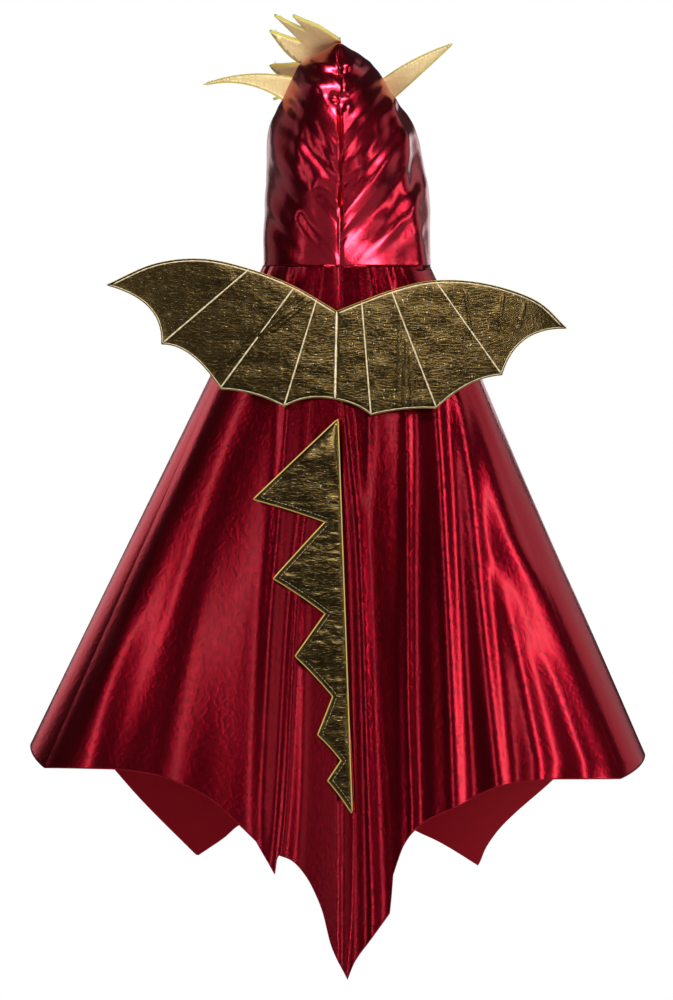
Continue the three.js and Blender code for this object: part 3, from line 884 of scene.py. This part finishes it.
# %% Lines of stitching
def inset_line(loop, amount):
    """The outline moved inwards, for a line of stitching beside the edge."""
    ahead = np.roll(loop, -1, axis=0) - loop
    ahead /= np.linalg.norm(ahead, axis=1, keepdims=True)
    behind = np.roll(ahead, 1, axis=0)
    turn = np.sign(signed_area(loop))
    normal = lambda d: turn * np.stack([-d[:, 1], d[:, 0]], axis=1)
    middle = normal(ahead) + normal(behind)
    middle /= np.maximum(np.linalg.norm(middle, axis=1, keepdims=True), 1e-6)
    reach = amount / np.maximum(0.42, (middle * normal(ahead)).sum(1))
    return loop + middle * reach[:, None]


def stitches(line, length, gap):
    """Short pieces of a line, as the needle leaves them."""
    run = run_along(line)
    starts = np.arange(0.5, run[-1] - length, length + gap)
    at = lambda s: np.array([np.interp(s, run, line[:, k]) for k in (0, 1)])
    return [[at(s), at(s + length / 2), at(s + length)] for s in starts]


print("stitches in 100 mm of seam:", len(stitches(np.array([[0.0, 0], [100, 0]]), 3.2, 1.4)))

# %% [markdown]
# ## The wings
# One padded pair is stitched to the back along a middle rib. The two wings were not cut alike: the left
# one is longer and rises more. Each outline is a smooth arch along the top and three hollows between
# the points of the lower edge, in millimetres from the middle of the neck seam.

# %% Wing outlines
WING_STAND, ARCH = 9.0, 40  # mm off the back, and the points of an outline's top edge
MIDDLE_TOP, MIDDLE_FOOT = (-4, -56), (-6, -161)
LEFT_TOP = [(-55, -26), (-109, -5), (-166, 7), (-223, 1), (-280, -24)]
LEFT_POINTS = [(-214, -95), (-143, -149), (-67, -170)]
LEFT_HOLLOWS = [(-211, -42), (-178, -94), (-103, -150), (-40, -154)]
RIGHT_TOP = [(61, -31), (115, -19), (175, -23), (235, -43), (272, -76)]
RIGHT_POINTS = [(194, -132), (115, -172), (37, -180)]
RIGHT_HOLLOWS = [(211, -74), (155, -134), (76, -170), (22, -166)]
LEFT_RIBS = [[(-109, -5), (-212, -93)], [(-55, -27), (-143, -147)], [(-28, -41), (-67, -169)]]
RIGHT_RIBS = [[(115, -20), (193, -130)], [(62, -32), (115, -170)], [(26, -45), (37, -179)]]


def wing_outline(top, points, hollows):
    ends = [top[-1], *points, MIDDLE_FOOT]
    lower = [bezier(ends[k], hollows[k], ends[k + 1], 14) for k in range(len(hollows))]
    return np.concatenate([spline([MIDDLE_TOP, *top], ARCH), *lower, [MIDDLE_FOOT]])


LEFT_WING = wing_outline(LEFT_TOP, LEFT_POINTS, LEFT_HOLLOWS)
RIGHT_WING = wing_outline(RIGHT_TOP, RIGHT_POINTS, RIGHT_HOLLOWS)
print("outline points:", len(LEFT_WING), "left and", len(RIGHT_WING), "right")

# %% [markdown]
# The wings stand 9 mm off the back and sweep forward slightly towards their tips. Their foil is puffed
# up unevenly, crumples finely, and has sharp creases where the piece has been folded. Each of these is
# a function that lifts the skin, and one is laid over another.

# %% How the wings lie, and their relief
def back_line(z):
    return -NECK_DEPTH / MM + BACK_SLOPE * z


def wing_place(x, z, offset):
    sweep = 0.00022 * np.asarray(x) ** 2 + 0.0012 * np.clip(np.asarray(x) - 190, 0, None) ** 2
    return np.stack([x, back_line(z) - WING_STAND + offset + sweep, z], axis=-1) * MM


def foil_relief(seed, run, amount):
    """Fine crumple of foil on foam, rounded down to the sewn edge. run is (across, along) wrinkle size."""

    def relief(x, z, edge):
        crumple = amount * creases(x / run[0], z / run[1], seed)
        puff = 0.9 * (noise(x / 24 + 9, z / 15 + 9, seed + 5) - 0.4)
        pillow = 1.0 - np.exp(-edge / 4.0)
        return pillow * (0.6 + crumple + puff) - 0.2

    return relief


def ridge_relief(base, lines, height, width):
    """Adds crease lines, each a list of points, to another relief."""

    def relief(x, z, edge):
        lift = base(x, z, edge)
        for line in lines:
            p, q = np.array(line[0], float), np.array(line[-1], float)
            along = (q - p) / np.linalg.norm(q - p)
            t = (x - p[0]) * along[0] + (z - p[1]) * along[1]
            off = (x - p[0]) * -along[1] + (z - p[1]) * along[0]
            off = off + 1.1 * (noise(t / 9, t * 0 + len(lines), 31) - 0.5)
            span = np.linalg.norm(q - p)
            reach = smoothstep(t, 0, 6) * (1 - smoothstep(t, span - 6, span))
            lift = lift + height * reach * np.exp(-((off / width) ** 2))
        return lift

    return relief


LEFT_CREASES = [[(-40, -35), (-152, -132)], [(-44, -33), (-120, -96)], [(-36, -38), (-100, -88)],
                [(-34, -41), (-84, -82)], [(-128, -14), (-150, -44)]]
RIGHT_CREASES = [[(80, -88), (76, -170)], [(84, -104), (86, -172)], [(72, -60), (70, -150)],
                 [(150, -30), (158, -90)], [(196, -34), (190, -84)], [(222, -44), (214, -80)]]
print(len(LEFT_CREASES), "creases on the left wing,", len(RIGHT_CREASES), "on the right")

# %% [markdown]
# Ribs fan out to the points, each a line sewn through the padding, and a cord of stitching runs inside
# the edge. A wing flaps about the middle rib.

# %% The two wings
WING_STEP, BACK_STEP = 1.8, 3.0
RIB, TOP_CORD, LOW_CORD, MIDDLE_RIB = (-2.5, 0.95, 0.8), (-2.0, 0.8, 0.7), (-1.8, 0.5, 0.5), (-2.3, 1.5, 1.0)
CREASE = (0.9, 1.3)  # height and half width in mm
WING_MIDDLE = (np.array(MIDDLE_TOP) + MIDDLE_FOOT) / 2
WINGS = {"left": (LEFT_WING, LEFT_RIBS, LEFT_CREASES, 41, (11, 6), FOIL_GOLD, -24),
         "right": (RIGHT_WING, RIGHT_RIBS, RIGHT_CREASES, 51, (6, 12), FOIL_GOLD_UPRIGHT, 14)}
for side, (outline, ribs, folds, seed, wrinkle, foil, turned_at) in WINGS.items():
    body = f"wing_{side}"
    plain = foil_relief(seed, wrinkle, 0.25)
    creased = ridge_relief(plain, folds, *CREASE)
    outer = skin_piece(body + "_outer_foil", outline, WING_STEP, wing_place, -SKIN_OFFSET, creased, foil)
    backing = skin_piece(body + "_inner_foil", outline, BACK_STEP, wing_place, SKIN_OFFSET, plain, FOIL_GOLD)
    core = foam_piece(body + "_foam_core", outline, wing_place, FOAM_GOLD)
    rib = raised_lines(body + "_ribs", ribs, wing_place, *RIB)
    top_line, low_line = inset_line(outline, 2.4)[:ARCH], inset_line(outline, 1.2)[ARCH:]
    top_cord = raised_lines(body + "_edge_seam", [top_line], wing_place, *TOP_CORD)
    low_cord = raised_lines(body + "_lower_seam", [low_line], wing_place, *LOW_CORD)
    start = wing_place(*WING_MIDDLE, 0)
    end = wing_place(np.float64(turned_at), WING_MIDDLE[1], 0)
    for piece in (outer, backing, core, rib, top_cord, low_cord):
        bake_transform(piece)
    finish_as(body + "_outer_skin")
    finish_as(body + "_inner_skin")
    finish_as(body + "_foam")
    for piece in (rib, top_cord, low_cord):
        finish_as()
    print(body, len(outer.data.vertices), "points")

middle_rib = raised_lines("wing_centre_rib", [[MIDDLE_TOP, MIDDLE_FOOT]], wing_place, *MIDDLE_RIB)
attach(middle_rib, "cape")
finish_as("wing_centre_strip")

# %% [markdown]
# ## The tail fin
# The fin is a saw blade of five points, sewn to the cape's middle seam along one straight side. Each
# point has a nearly straight upper edge and a hollow lower one. Its top is drawn in towards the cape.

# %% Shape of the fin
FIN_STAND, FIN_SEAM_POINTS = 7.5, 40
FIN_TOP, FIN_END = (-3, -186), (14, -656)
FIN_TIPS = [(-103, -281), (-79, -376), (-53, -469), (-26, -563), (-14, -618)]
FIN_NOTCHES = [(-17, -308), (-17, -418), (-8, -517), (2, -594)]


def fin_outline():
    """Down the five points, then back up the seam."""
    parts = []
    start = np.array(FIN_TOP, float)
    for tip, end in zip(np.array(FIN_TIPS, float), np.array(FIN_NOTCHES + [FIN_END], float)):
        parts.append(bezier(start, (start + tip) / 2 + (1.0, 1.5), tip, 16))
        parts.append(bezier(tip, (tip + end) / 2 + (1.0, 2.0), end, 12))
        start = end
    seam = np.linspace(FIN_END, FIN_TOP, FIN_SEAM_POINTS, endpoint=False)
    return np.concatenate([*parts, seam])


def fin_place(x, z, offset):
    drawn_in = 4.0 * smoothstep(z, -232, -184)
    return np.stack([np.asarray(x, float), back_line(z) - FIN_STAND + drawn_in + offset, z], axis=-1) * MM


FIN = fin_outline()
print("fin", round(FIN[:, 1].max() - FIN[:, 1].min()), "mm long")

# %% [markdown]
# Small wrinkles run in from the edges of the fin, in a band beside them, and two soft rolls cross it
# where it bends. A thick thread runs round inside the cut edge, stitch by stitch.

# %% Fin
FIN_STITCH, FIN_THREAD = (3.2, 1.4), (-2.35, 0.45, 0.5)


def fin_relief(x, z, edge):
    side = noise(x / 26, z / 4.5, 61) - 0.5
    band = np.exp(-(((edge - 9) / 7) ** 2))
    fine = creases(x / 9, z / 4, 62)
    roll = 1.6 * np.exp(-(((z + 222) / 22) ** 2)) + 1.4 * np.exp(-(((z + 455) / 20) ** 2))
    roll = roll + 1.6 * (noise(x / 40 + 3, z / 30 + 5, 64) - 0.5)
    pillow = 1 - np.exp(-edge / 3.5)
    return pillow * (0.7 + 1.1 * side * band + 0.35 * fine + roll) - 0.2


fin_skin = skin_piece("fin_outer_foil", FIN, 1.8, fin_place, -SKIN_OFFSET, fin_relief, FOIL_GOLD)
fin_back = skin_piece("fin_inner_foil", FIN, 3.0, fin_place, SKIN_OFFSET, fin_relief, FOIL_GOLD)
fin_core = foam_piece("fin_foam_core", FIN, fin_place, FOAM_AMBER, 1.4)
free_edge = inset_line(FIN, 4.2)[:-FIN_SEAM_POINTS]
fin_seam = raised_lines("fin_stitches", stitches(free_edge, *FIN_STITCH), fin_place, *FIN_THREAD)
FIN_PARTS = [(fin_skin, "foil_gold", "fin_outer_skin"), (fin_back, "foil_gold", "fin_inner_skin"),
             (fin_core, "foam_yellow", "fin_foam"), (fin_seam, "foil_gold", None)]
for piece, slot, node in FIN_PARTS:
    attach(piece, "fin")
    finish_as(node)
print("fin", len(fin_skin.data.vertices), "points")

# %% [markdown]
# ## The crest and the horns
# Both are sewn like the gold trims, and their pale colour is a painted reflection on the gold foil. The
# crest lies along the ridge of the hood and leans to the left, more and more towards the face. So each
# place on it is a run along the ridge and a height above it, and its foot settles on to the ridge at the
# back.

# %% Shape of the crest
CREST_ENDS = (-6, 83)
CREST_TIPS = [(4, 63), (22, 88), (40, 90), (56, 84), (74, 85)]
CREST_NOTCHES = [(20, 44), (38, 48), (54, 45), (70, 42)]
CREST_SETTLES = ((-6, 0, 45), (8.0, 4.5, 1.0))  # how far the foot sits down on the ridge, along the run
CREST_FOOT, CREST_RIDGE_POINTS = 30, 30  # the height in mm that settles; the outline's points along it
crest_lean = curve([[-6, 63], [4, 63], [22, 63], [40, 69], [56, 90], [74, 110], [83, 92]])


def crest_outline():
    """Foot along the ridge, then spikes that lean forward, each with a hollow leading edge."""
    parts = [np.linspace((CREST_ENDS[0], 0), (CREST_ENDS[1], 0), CREST_RIDGE_POINTS, endpoint=False)]
    start = np.array((CREST_ENDS[1], 0), float)
    for k, tip in reversed(list(enumerate(CREST_TIPS))):
        tip = np.array(tip, float)
        parts.append(bezier(start, (start + tip) / 2 + (1.5, 0), tip, 12))
        end = np.array(CREST_NOTCHES[k - 1] if k else (CREST_ENDS[0], 0), float)
        parts.append(bezier(tip, (tip + end) / 2 + (1.0, -2), end, 12))
        start = end
    return np.concatenate(parts)


def crest_place(s, h, offset):
    lean = np.radians(crest_lean(s))
    foot = HOOD_HEIGHT / MM + 6 - RIDGE_SLOPE * np.asarray(s, float)
    settled = np.interp(s, CREST_SETTLES[0], CREST_SETTLES[1]) * np.clip(1 - h / CREST_FOOT, 0, 1)
    x = -h * np.sin(lean) - offset * np.cos(lean)
    z = foot - settled + h * np.cos(lean) - offset * np.sin(lean)
    return np.stack([x, np.asarray(s, float), z], axis=-1) * MM


CREST = crest_outline()
print("crest", CREST_ENDS[1] - CREST_ENDS[0], "mm along the ridge")

# %% [markdown]
# The pale cloth has soft lengthwise wrinkles over the foam. The whole crest rides on one body, and its
# stitches are a little shorter than the fin's.

# %% Crest
PALE_STITCH, PALE_THREAD = (2.8, 1.2), (-2.4, 0.4, 0.45)


def backing_relief(seed, run):
    """Wrinkles over the foam. run is (across, along) wrinkle size."""

    def relief(x, z, edge):
        pillow = 1 - np.exp(-edge / 3.0)
        return pillow * (0.9 + 0.5 * creases(x / run[0], z / run[1], seed)) - 0.2

    return relief


crest_relief = backing_relief(71, (14, 6))
crest_top = skin_piece("crest_upper_cloth", CREST, 1.6, crest_place, -SKIN_OFFSET, crest_relief, FOIL_GOLD_PAINTED_PALE)
crest_under = skin_piece("crest_under_cloth", CREST, 2.4, crest_place, SKIN_OFFSET, crest_relief, FOIL_GOLD_PAINTED_PALE)
crest_core = foam_piece("crest_foam_core", CREST, crest_place, FOAM_YELLOW, 1.2)
crest_line = inset_line(CREST, 3.0)[CREST_RIDGE_POINTS:]
crest_seam = raised_lines("crest_stitches", stitches(crest_line, *PALE_STITCH), crest_place, *PALE_THREAD)
CREST_PARTS = [(crest_top, "foil_tan", "crest_upper_skin"), (crest_seam, "foil_tan", None),
               (crest_under, "foil_tan", "crest_under_skin"), (crest_core, "foam_yellow", "crest_foam")]
for piece, slot, node in CREST_PARTS:
    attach(piece, "crest")
    finish_as(node)
print("crest", len(crest_top.data.vertices), "points")

# %% [markdown]
# The crest's foot is caught in the seam along the ridge. What shows there is the seam allowance of the
# hood standing up between the two panels, so a folded strip of the red cloth runs from just inside the
# ridge up to the foot.

# %% Seam allowance under the crest
ALLOWANCE, ALLOWANCE_WIDTH = (-2.5, 5.5), 0.011  # below and above the ridge in mm; cut width in metres
run, rise = np.meshgrid(np.linspace(*CREST_ENDS, 60), np.linspace(*ALLOWANCE, 6), indexing="ij")
waver = 0.5 * (noise(run / 9, rise / 6, 81) - 0.5)
ridge = HOOD_HEIGHT / MM - RIDGE_SLOPE * np.clip(run, 0, None)
allowance = np.stack([0.5 + waver, run, ridge + rise], axis=-1) * MM
facing = np.broadcast_to((1.0, 0.0, 0.0), allowance.shape)
crest_seam_allowance = cloth_sheet("crest_seam_allowance", allowance, facing, 1.0 * MM, [HOOD_RED, HOOD_RED])
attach(crest_seam_allowance, "hood")
finish_as()
area = half_area(crest_seam_allowance)
print("seam allowance area", round(area * 1e4, 1), "cm2")

# %% [markdown]
# Each horn is a curved spike. Its base is caught in the side of the hood.

# %% Shape of the horns
HORN_FORWARD, HORN_GAP, HORN_ROOT_POINTS, HORN_EDGE_POINTS = 20.0, 1.0, 8, 30
HORNS = {
    "left": ([(-54, 226), (-66, 199)], (-112, 238), (-112, 230), (-164, 218)),
    "right": ([(45, 220), (59, 198)], (84, 250), (104, 237), (135, 267)),
}


def horn_place(x, z, offset):
    return np.stack([np.asarray(x, float), HORN_FORWARD + offset + 0 * x, z + 0 * x], axis=-1) * MM


def horn_outline(base, over, under, tip):
    root = np.array(base, float) + (np.sign(tip[0]) * HORN_GAP, 0)
    return np.concatenate([np.linspace(root[1], root[0], HORN_ROOT_POINTS, endpoint=False),
                           bezier(root[0], over, tip, HORN_EDGE_POINTS),
                           bezier(tip, under, root[1], HORN_EDGE_POINTS)])


for side, (base, _, _, tip) in HORNS.items():
    print(side, "horn", round(float(np.linalg.norm(np.mean(base, axis=0) - tip))), "mm from root to tip")

# %% [markdown]
# A horn is filled and lifted like the other trims. The left and the right one get their own crumple,
# because no two hand-cut pieces wrinkle alike.

# %% The two horns
HORN_BLEND = 0.018
for side, (base, over, under, tip) in HORNS.items():
    body = f"horn_{side}"
    outline = horn_outline(base, over, under, tip)
    relief = backing_relief(73 if side == "left" else 75, (16, 7))
    back = skin_piece(body + "_back_cloth", outline, 1.5, horn_place, -SKIN_OFFSET, relief, FOIL_GOLD_PAINTED_PALE)
    front = skin_piece(body + "_front_cloth", outline, 2.2, horn_place, SKIN_OFFSET, relief, FOIL_GOLD_PAINTED_PALE)
    core = foam_piece(body + "_foam_core", outline, horn_place, FOAM_YELLOW, 1.2)
    line = inset_line(outline, 3.0)[HORN_ROOT_POINTS:-2]
    seam = raised_lines(body + "_stitches", stitches(line, *PALE_STITCH), horn_place, *PALE_THREAD)
    start = horn_place(*np.mean(base, axis=0), 0.0)
    end = start + np.array([np.sign(tip[0]) * HORN_BLEND, 0, 0.004])
    for piece in (back, front, core, seam):
        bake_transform(piece)
    finish_as(body + "_back_skin")
    finish_as(body + "_front_skin")
    finish_as(body + "_foam")
    finish_as()
    print(body, len(back.data.vertices), "points")

# %% [markdown]
# ## Neck tape, hanging loop and closure
# Inside the neck a woven tape covers the raw seam. It follows the same line as the cape's top edge, a
# little further in, and ripples slightly where it was eased on.

# %% Neck tape
TAPE_INSET, TAPE_HEIGHT = 1 - 2.4 / 92, 11 * MM


def neck_tape_grid(columns, rows):
    angle, down = np.meshgrid(np.linspace(-FRONT_EDGE, FRONT_EDGE, columns), np.linspace(0, 1, rows),
                              indexing="ij")
    top = cape_points(angle, 0.0 * down) * (TAPE_INSET, TAPE_INSET, 1)
    a = np.radians(angle)
    ripple = 0.0003 * np.sin(angle * 0.9) * down
    outward = np.stack([np.sin(a), -np.cos(a), 0 * a], axis=-1)
    grid = top + outward * ripple[..., None]
    grid[..., 2] -= down * TAPE_HEIGHT
    return grid, outward


grid, outward = neck_tape_grid(240, 8)
neck_tape = cloth_sheet("neck_tape_weave", grid, outward, 0.9 * MM, [TAPE_RED, TAPE_RED])
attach(neck_tape, "cape")
finish_as("neck_tape")
area, width = half_area(neck_tape), TAPE_HEIGHT
print("neck tape", round(area / width * 1000), "mm long")

# %% [markdown]
# The loop is a short tape bent down in a U behind the nape, its ends caught under the neck tape. A
# curve gives its middle line, and the width runs forward from the seam.

# %% Hanging loop
LOOP_HALF, LOOP_DROP, LOOP_WIDTH = 19.4, 19.4, 10.0


def loop_grid(columns, rows):
    line = np.concatenate([[(-LOOP_HALF, 0)], bezier((-LOOP_HALF, -LOOP_DROP + 19), (-LOOP_HALF, -LOOP_DROP),
                                                      (0, -LOOP_DROP), 16),
                           bezier((0, -LOOP_DROP), (LOOP_HALF, -LOOP_DROP), (LOOP_HALF, -LOOP_DROP + 19), 16),
                           [(LOOP_HALF, 0)]])
    run = run_along(line)
    at, wide = np.meshgrid(np.linspace(0, run[-1], columns), np.linspace(-0.5, 0.5, rows), indexing="ij")
    x = np.interp(at, run, line[:, 0])
    z = np.interp(at, run, line[:, 1]) - 2
    y = -NECK_DEPTH / MM + 10 + LOOP_WIDTH * wide + 0 * at
    middle = np.stack([x, y, z], axis=-1) * MM
    outward = np.stack([x, 0 * x, z + 8], axis=-1)
    return middle, outward


grid, outward = loop_grid(90, 7)
hang_loop = cloth_sheet("hang_loop_weave", grid, outward, 0.9 * MM, [TAPE_RED, TAPE_RED])
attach(hang_loop, "cape")
finish_as("hang_loop")
area, width = half_area(hang_loop), LOOP_WIDTH * MM
print("hanging loop", round(area / width * 1000), "mm of tape")

# %% [markdown]
# At the front a small tab of the red cloth presses shut on hook-and-loop patches. All three are flat
# pieces with rounded corners, so one grid makes them: its rows draw in towards the two ends.

# %% Hook-and-loop patches
TAB_LEFT, TAB_LENGTH, TAB_HEIGHT, TAB_DEPTH, TAB_FORWARD = -28.0, 64.0, 18.0, 1.4, 85.7
PATCH_FORWARD = {"loop_patch": 82.8, "hook_patch": 83.9}
TAB_MIDDLE = -2 - TAB_HEIGHT / 2
PATCH_SIZE = (22.0, 14.0)


def pad_grid(x_range, z_range, forward, columns, rows, corner, bumps):
    u, v = np.meshgrid(np.linspace(0, 1, columns), np.linspace(0, 1, rows), indexing="ij")
    x = x_range[0] + (x_range[1] - x_range[0]) * u
    half = (z_range[1] - z_range[0]) / 2
    from_end = np.minimum(x - x_range[0], x_range[1] - x)
    short = np.maximum(0, corner - from_end)
    draw = corner - np.sqrt(np.maximum(0, corner**2 - short**2))
    z = z_range[0] + half + (2 * v - 1) * (half - draw)
    y = forward + bumps * (noise(x / 4, z / 4, 81) - 0.5)
    return np.stack([x, y, z], axis=-1) * MM, np.broadcast_to((0.0, 1.0, 0.0), x.shape + (3,))


patch_left = TAB_LEFT + TAB_LENGTH - PATCH_SIZE[0] - 3
patch_span = (patch_left, patch_left + PATCH_SIZE[0])
patch_rise = (TAB_MIDDLE - PATCH_SIZE[1] / 2, TAB_MIDDLE + PATCH_SIZE[1] / 2)
for name, body in (("loop_patch", "cape"), ("hook_patch", "closure_tab")):
    grid, outward = pad_grid(patch_span, patch_rise, PATCH_FORWARD[name], 60, 40, 2.0, 0.1)
    piece = cloth_sheet(name + "_pile", grid, outward, 0.75 * MM, [HOOKS, HOOKS])
    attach(piece, body)
    finish_as(name)
    print(name, PATCH_SIZE, "mm")

# %% [markdown]
# The tab is a double layer of the red cloth, sewn to the left front edge. Opening it lifts its free end.

# %% Closure tab
tab_span = (TAB_LEFT, TAB_LEFT + TAB_LENGTH)
tab_rise = (TAB_MIDDLE - TAB_HEIGHT / 2, TAB_MIDDLE + TAB_HEIGHT / 2)
grid, outward = pad_grid(tab_span, tab_rise, TAB_FORWARD, 120, 50, 4.0, 0.25)
tab = cloth_sheet("closure_tab_cloth", grid, outward, TAB_DEPTH * MM, [FOIL_RED, WRONG_SIDE])
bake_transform(tab)
finish_as("closure_tab")

# %% [markdown]
# ## Studio
# The cape hangs at a child's height above a pale floor, in front of white. A mirror-like cloth shows
# its room more than its own colour. So the room is white only where the camera looks straight at it,
# and nearly black for everything the foil reflects, which keeps the reds deep.

# %% Floor and room
FLOOR = -0.93
DARK_ROOM, WHITE, PALE = (0.032, 0.031, 0.031, 1), (1, 1, 1, 1), (0.85, 0.85, 0.85, 1)
floor_mesh = bpy.data.meshes.new("floor")
corners = [(x, y, FLOOR) for x, y in ((-2.5, -2.2), (2.5, -2.2), (2.5, 1), (-2.5, 1))]
floor_mesh.from_pydata(corners, [], [(0, 1, 2, 3)])
floor = bpy.data.objects.new("floor", floor_mesh)
bpy.context.scene.collection.objects.link(floor)
matt = Finish("pale_floor", Roughness=0.9, Base_Color=PALE, Emission_Strength=0.15, Emission_Color=WHITE)
floor_mesh.materials.append(matt.material)

world = bpy.data.worlds.new("studio")
bpy.context.scene.world = world
world.use_nodes = True
tree = world.node_tree
path = tree.nodes.new("ShaderNodeLightPath")
mix = tree.nodes.new("ShaderNodeMix")
mix.data_type = "RGBA"
mix.inputs[6].default_value, mix.inputs[7].default_value = DARK_ROOM, WHITE
tree.links.new(path.outputs["Is Camera Ray"], mix.inputs["Factor"])
tree.links.new(mix.outputs[2], tree.nodes["Background"].inputs["Color"])
print("floor at", FLOOR, "m")

# %% [markdown]
# Long soft lights at the sides and behind make the bright streaks down the folds. One set of lights
# can't suit foil, pale cloth and thread together. So some lights reach only the pieces they are made
# for, by light linking, as a studio would place a small card close to one part.

# %% A light, and which pieces it reaches
def area_light(name, place, towards, size, power, only=()):
    data = bpy.data.lights.new(name, "AREA")
    data.shape = "RECTANGLE"
    data.size, data.size_y = size
    data.energy = power
    light = bpy.data.objects.new(name, data)
    light.location = place
    light.rotation_euler = (Vector(towards) - Vector(place)).to_track_quat("-Z", "Y").to_euler()
    bpy.context.scene.collection.objects.link(light)
    if only:
        lit = bpy.data.collections.new("lit by " + name)
        for piece in only:
            lit.objects.link(piece)
        light.light_linking.receiver_collection = lit


def shown(*starts):
    """The visible pieces whose names start in one of these ways."""
    return [piece for piece in bpy.data.objects
            if piece.type == "MESH" and not piece.hide_render and piece.name.startswith(starts)]


hood_cloth = shown("hood")
pale_trims = shown("crest", "horn")
gold_trims = shown("wing", "fin")
EDGE_NAMES = ("rib", "ribs", "seam", "stitches", "core")
gold_edges = [piece for piece in gold_trims if piece.name.endswith(EDGE_NAMES)]
left_back, right_front = cape["cape_left_back_panel"], cape["cape_right_front_panel"]
print("lit apart:", len(hood_cloth), "hood cloths,", len(pale_trims), "pale,", len(gold_trims), "gold pieces")

# %% [markdown]
# Each light has its place, what it points at, its width and height in metres, its power in watts and
# the pieces it reaches, all of them where none are named. The broad lights stand behind, on both
# sides. Narrow strips at the front draw the thin lines, and low cards fill the undersides.

# %% The lights
BACK, HEAD, HORNS_HIGH = (0, 0, -0.25), (0, 0, 0.1), (0, 0, 0.2)
area_light("left, behind", (-1.9, 1.5, 0.75), BACK, (1.4, 1.3), 6.0, cape.values())
area_light("left, behind, for the hood", (-1.9, 1.2, 0.35), HEAD, (1.2, 1.6), 1.6, hood_cloth)
area_light("right, behind", (2.3, 1.1, 0.5), BACK, (2.0, 1.9), 6.5)
area_light("left rim", (-0.8, 2.6, 0.2), HEAD, (0.6, 0.5), 1.0)
area_light("right rim", (0.9, 2.5, 0.2), HEAD, (0.8, 0.5), 1.6)
area_light("left strip", (-2.1, -1.2, 0.0), BACK, (0.12, 2.2), 4.0)
area_light("right strip", (2.1, -1.2, 0.0), BACK, (0.15, 2.2), 9.0)
area_light("left sparkle", (-1.3, -2.7, 0.1), (0, 0, -0.2), (0.08, 1.6), 2.6)
area_light("right sparkle", (1.3, -2.7, 0.1), (0, 0, -0.2), (0.08, 1.6), 3.2)
area_light("above and in front", (0.2, -2.2, 1.6), (0, -0.1, 0.0), (1.0, 0.4), 7.0)
area_light("above, for the gold", (0.3, -2.3, 1.1), (0, -0.1, -0.1), (1.0, 0.5), 7, gold_trims)
area_light("for the gold threads", (-0.2, -2.2, 1.2), (0, -0.1, -0.2), (1.6, 0.8), 45, gold_edges)
area_light("card for the red panel", (0.10, -2.3, -0.03), (0, 0, -0.55), (0.5, 0.6), 0.6, [left_back])
area_light("low card, inside", (-0.4, -1.6, -0.86), (0.1, 0.1, -0.66), (0.8, 0.12), 4, [right_front])
area_light("low card, for the hood", (0.9, -1.5, -0.75), HEAD, (0.7, 0.6), 26, hood_cloth)
area_light("over the hood", (0.0, -0.9, 1.5), HEAD, (0.8, 0.4), 40, hood_cloth)
area_light("card in front, for the hood", (-0.5, -2.4, 0.2), HEAD, (1.8, 1.4), 2.5, hood_cloth)
area_light("low card, for the trims", (-0.7, -1.7, -0.6), HORNS_HIGH, (0.9, 0.6), 20, pale_trims)
area_light("high card, for the trims", (0.0, -1.4, 1.2), HORNS_HIGH, (0.8, 0.4), 12, pale_trims)
print("lights:", len(bpy.data.lights), "with", sum(light.energy for light in bpy.data.lights), "W in all")

# %% [markdown]
# The camera looks straight at the back of the cape from far away, through a long lens, so that the
# drawing is nearly without perspective. The lens length follows from the height of the view.

# %% Camera
VIEW_MIDDLE = (-0.0042, -0.282)
VIEW_HEIGHT, VIEW_DISTANCE, VIEW_PLANE = 1.2, 30.0, -0.08
camera_data = bpy.data.cameras.new("camera")
camera_data.sensor_fit = "VERTICAL"
camera_data.sensor_height = 36
camera_data.lens = 36 / 2 / (VIEW_HEIGHT / 2 / VIEW_DISTANCE)
camera = bpy.data.objects.new("camera", camera_data)
camera.location = (VIEW_MIDDLE[0], VIEW_PLANE - VIEW_DISTANCE, VIEW_MIDDLE[1])
camera.rotation_euler = (np.pi / 2, 0, 0)
bpy.context.scene.collection.objects.link(camera)
bpy.context.scene.camera = camera
bpy.context.scene.view_settings.view_transform = "Standard"
print("lens", round(camera_data.lens), "mm")

# %% [markdown]
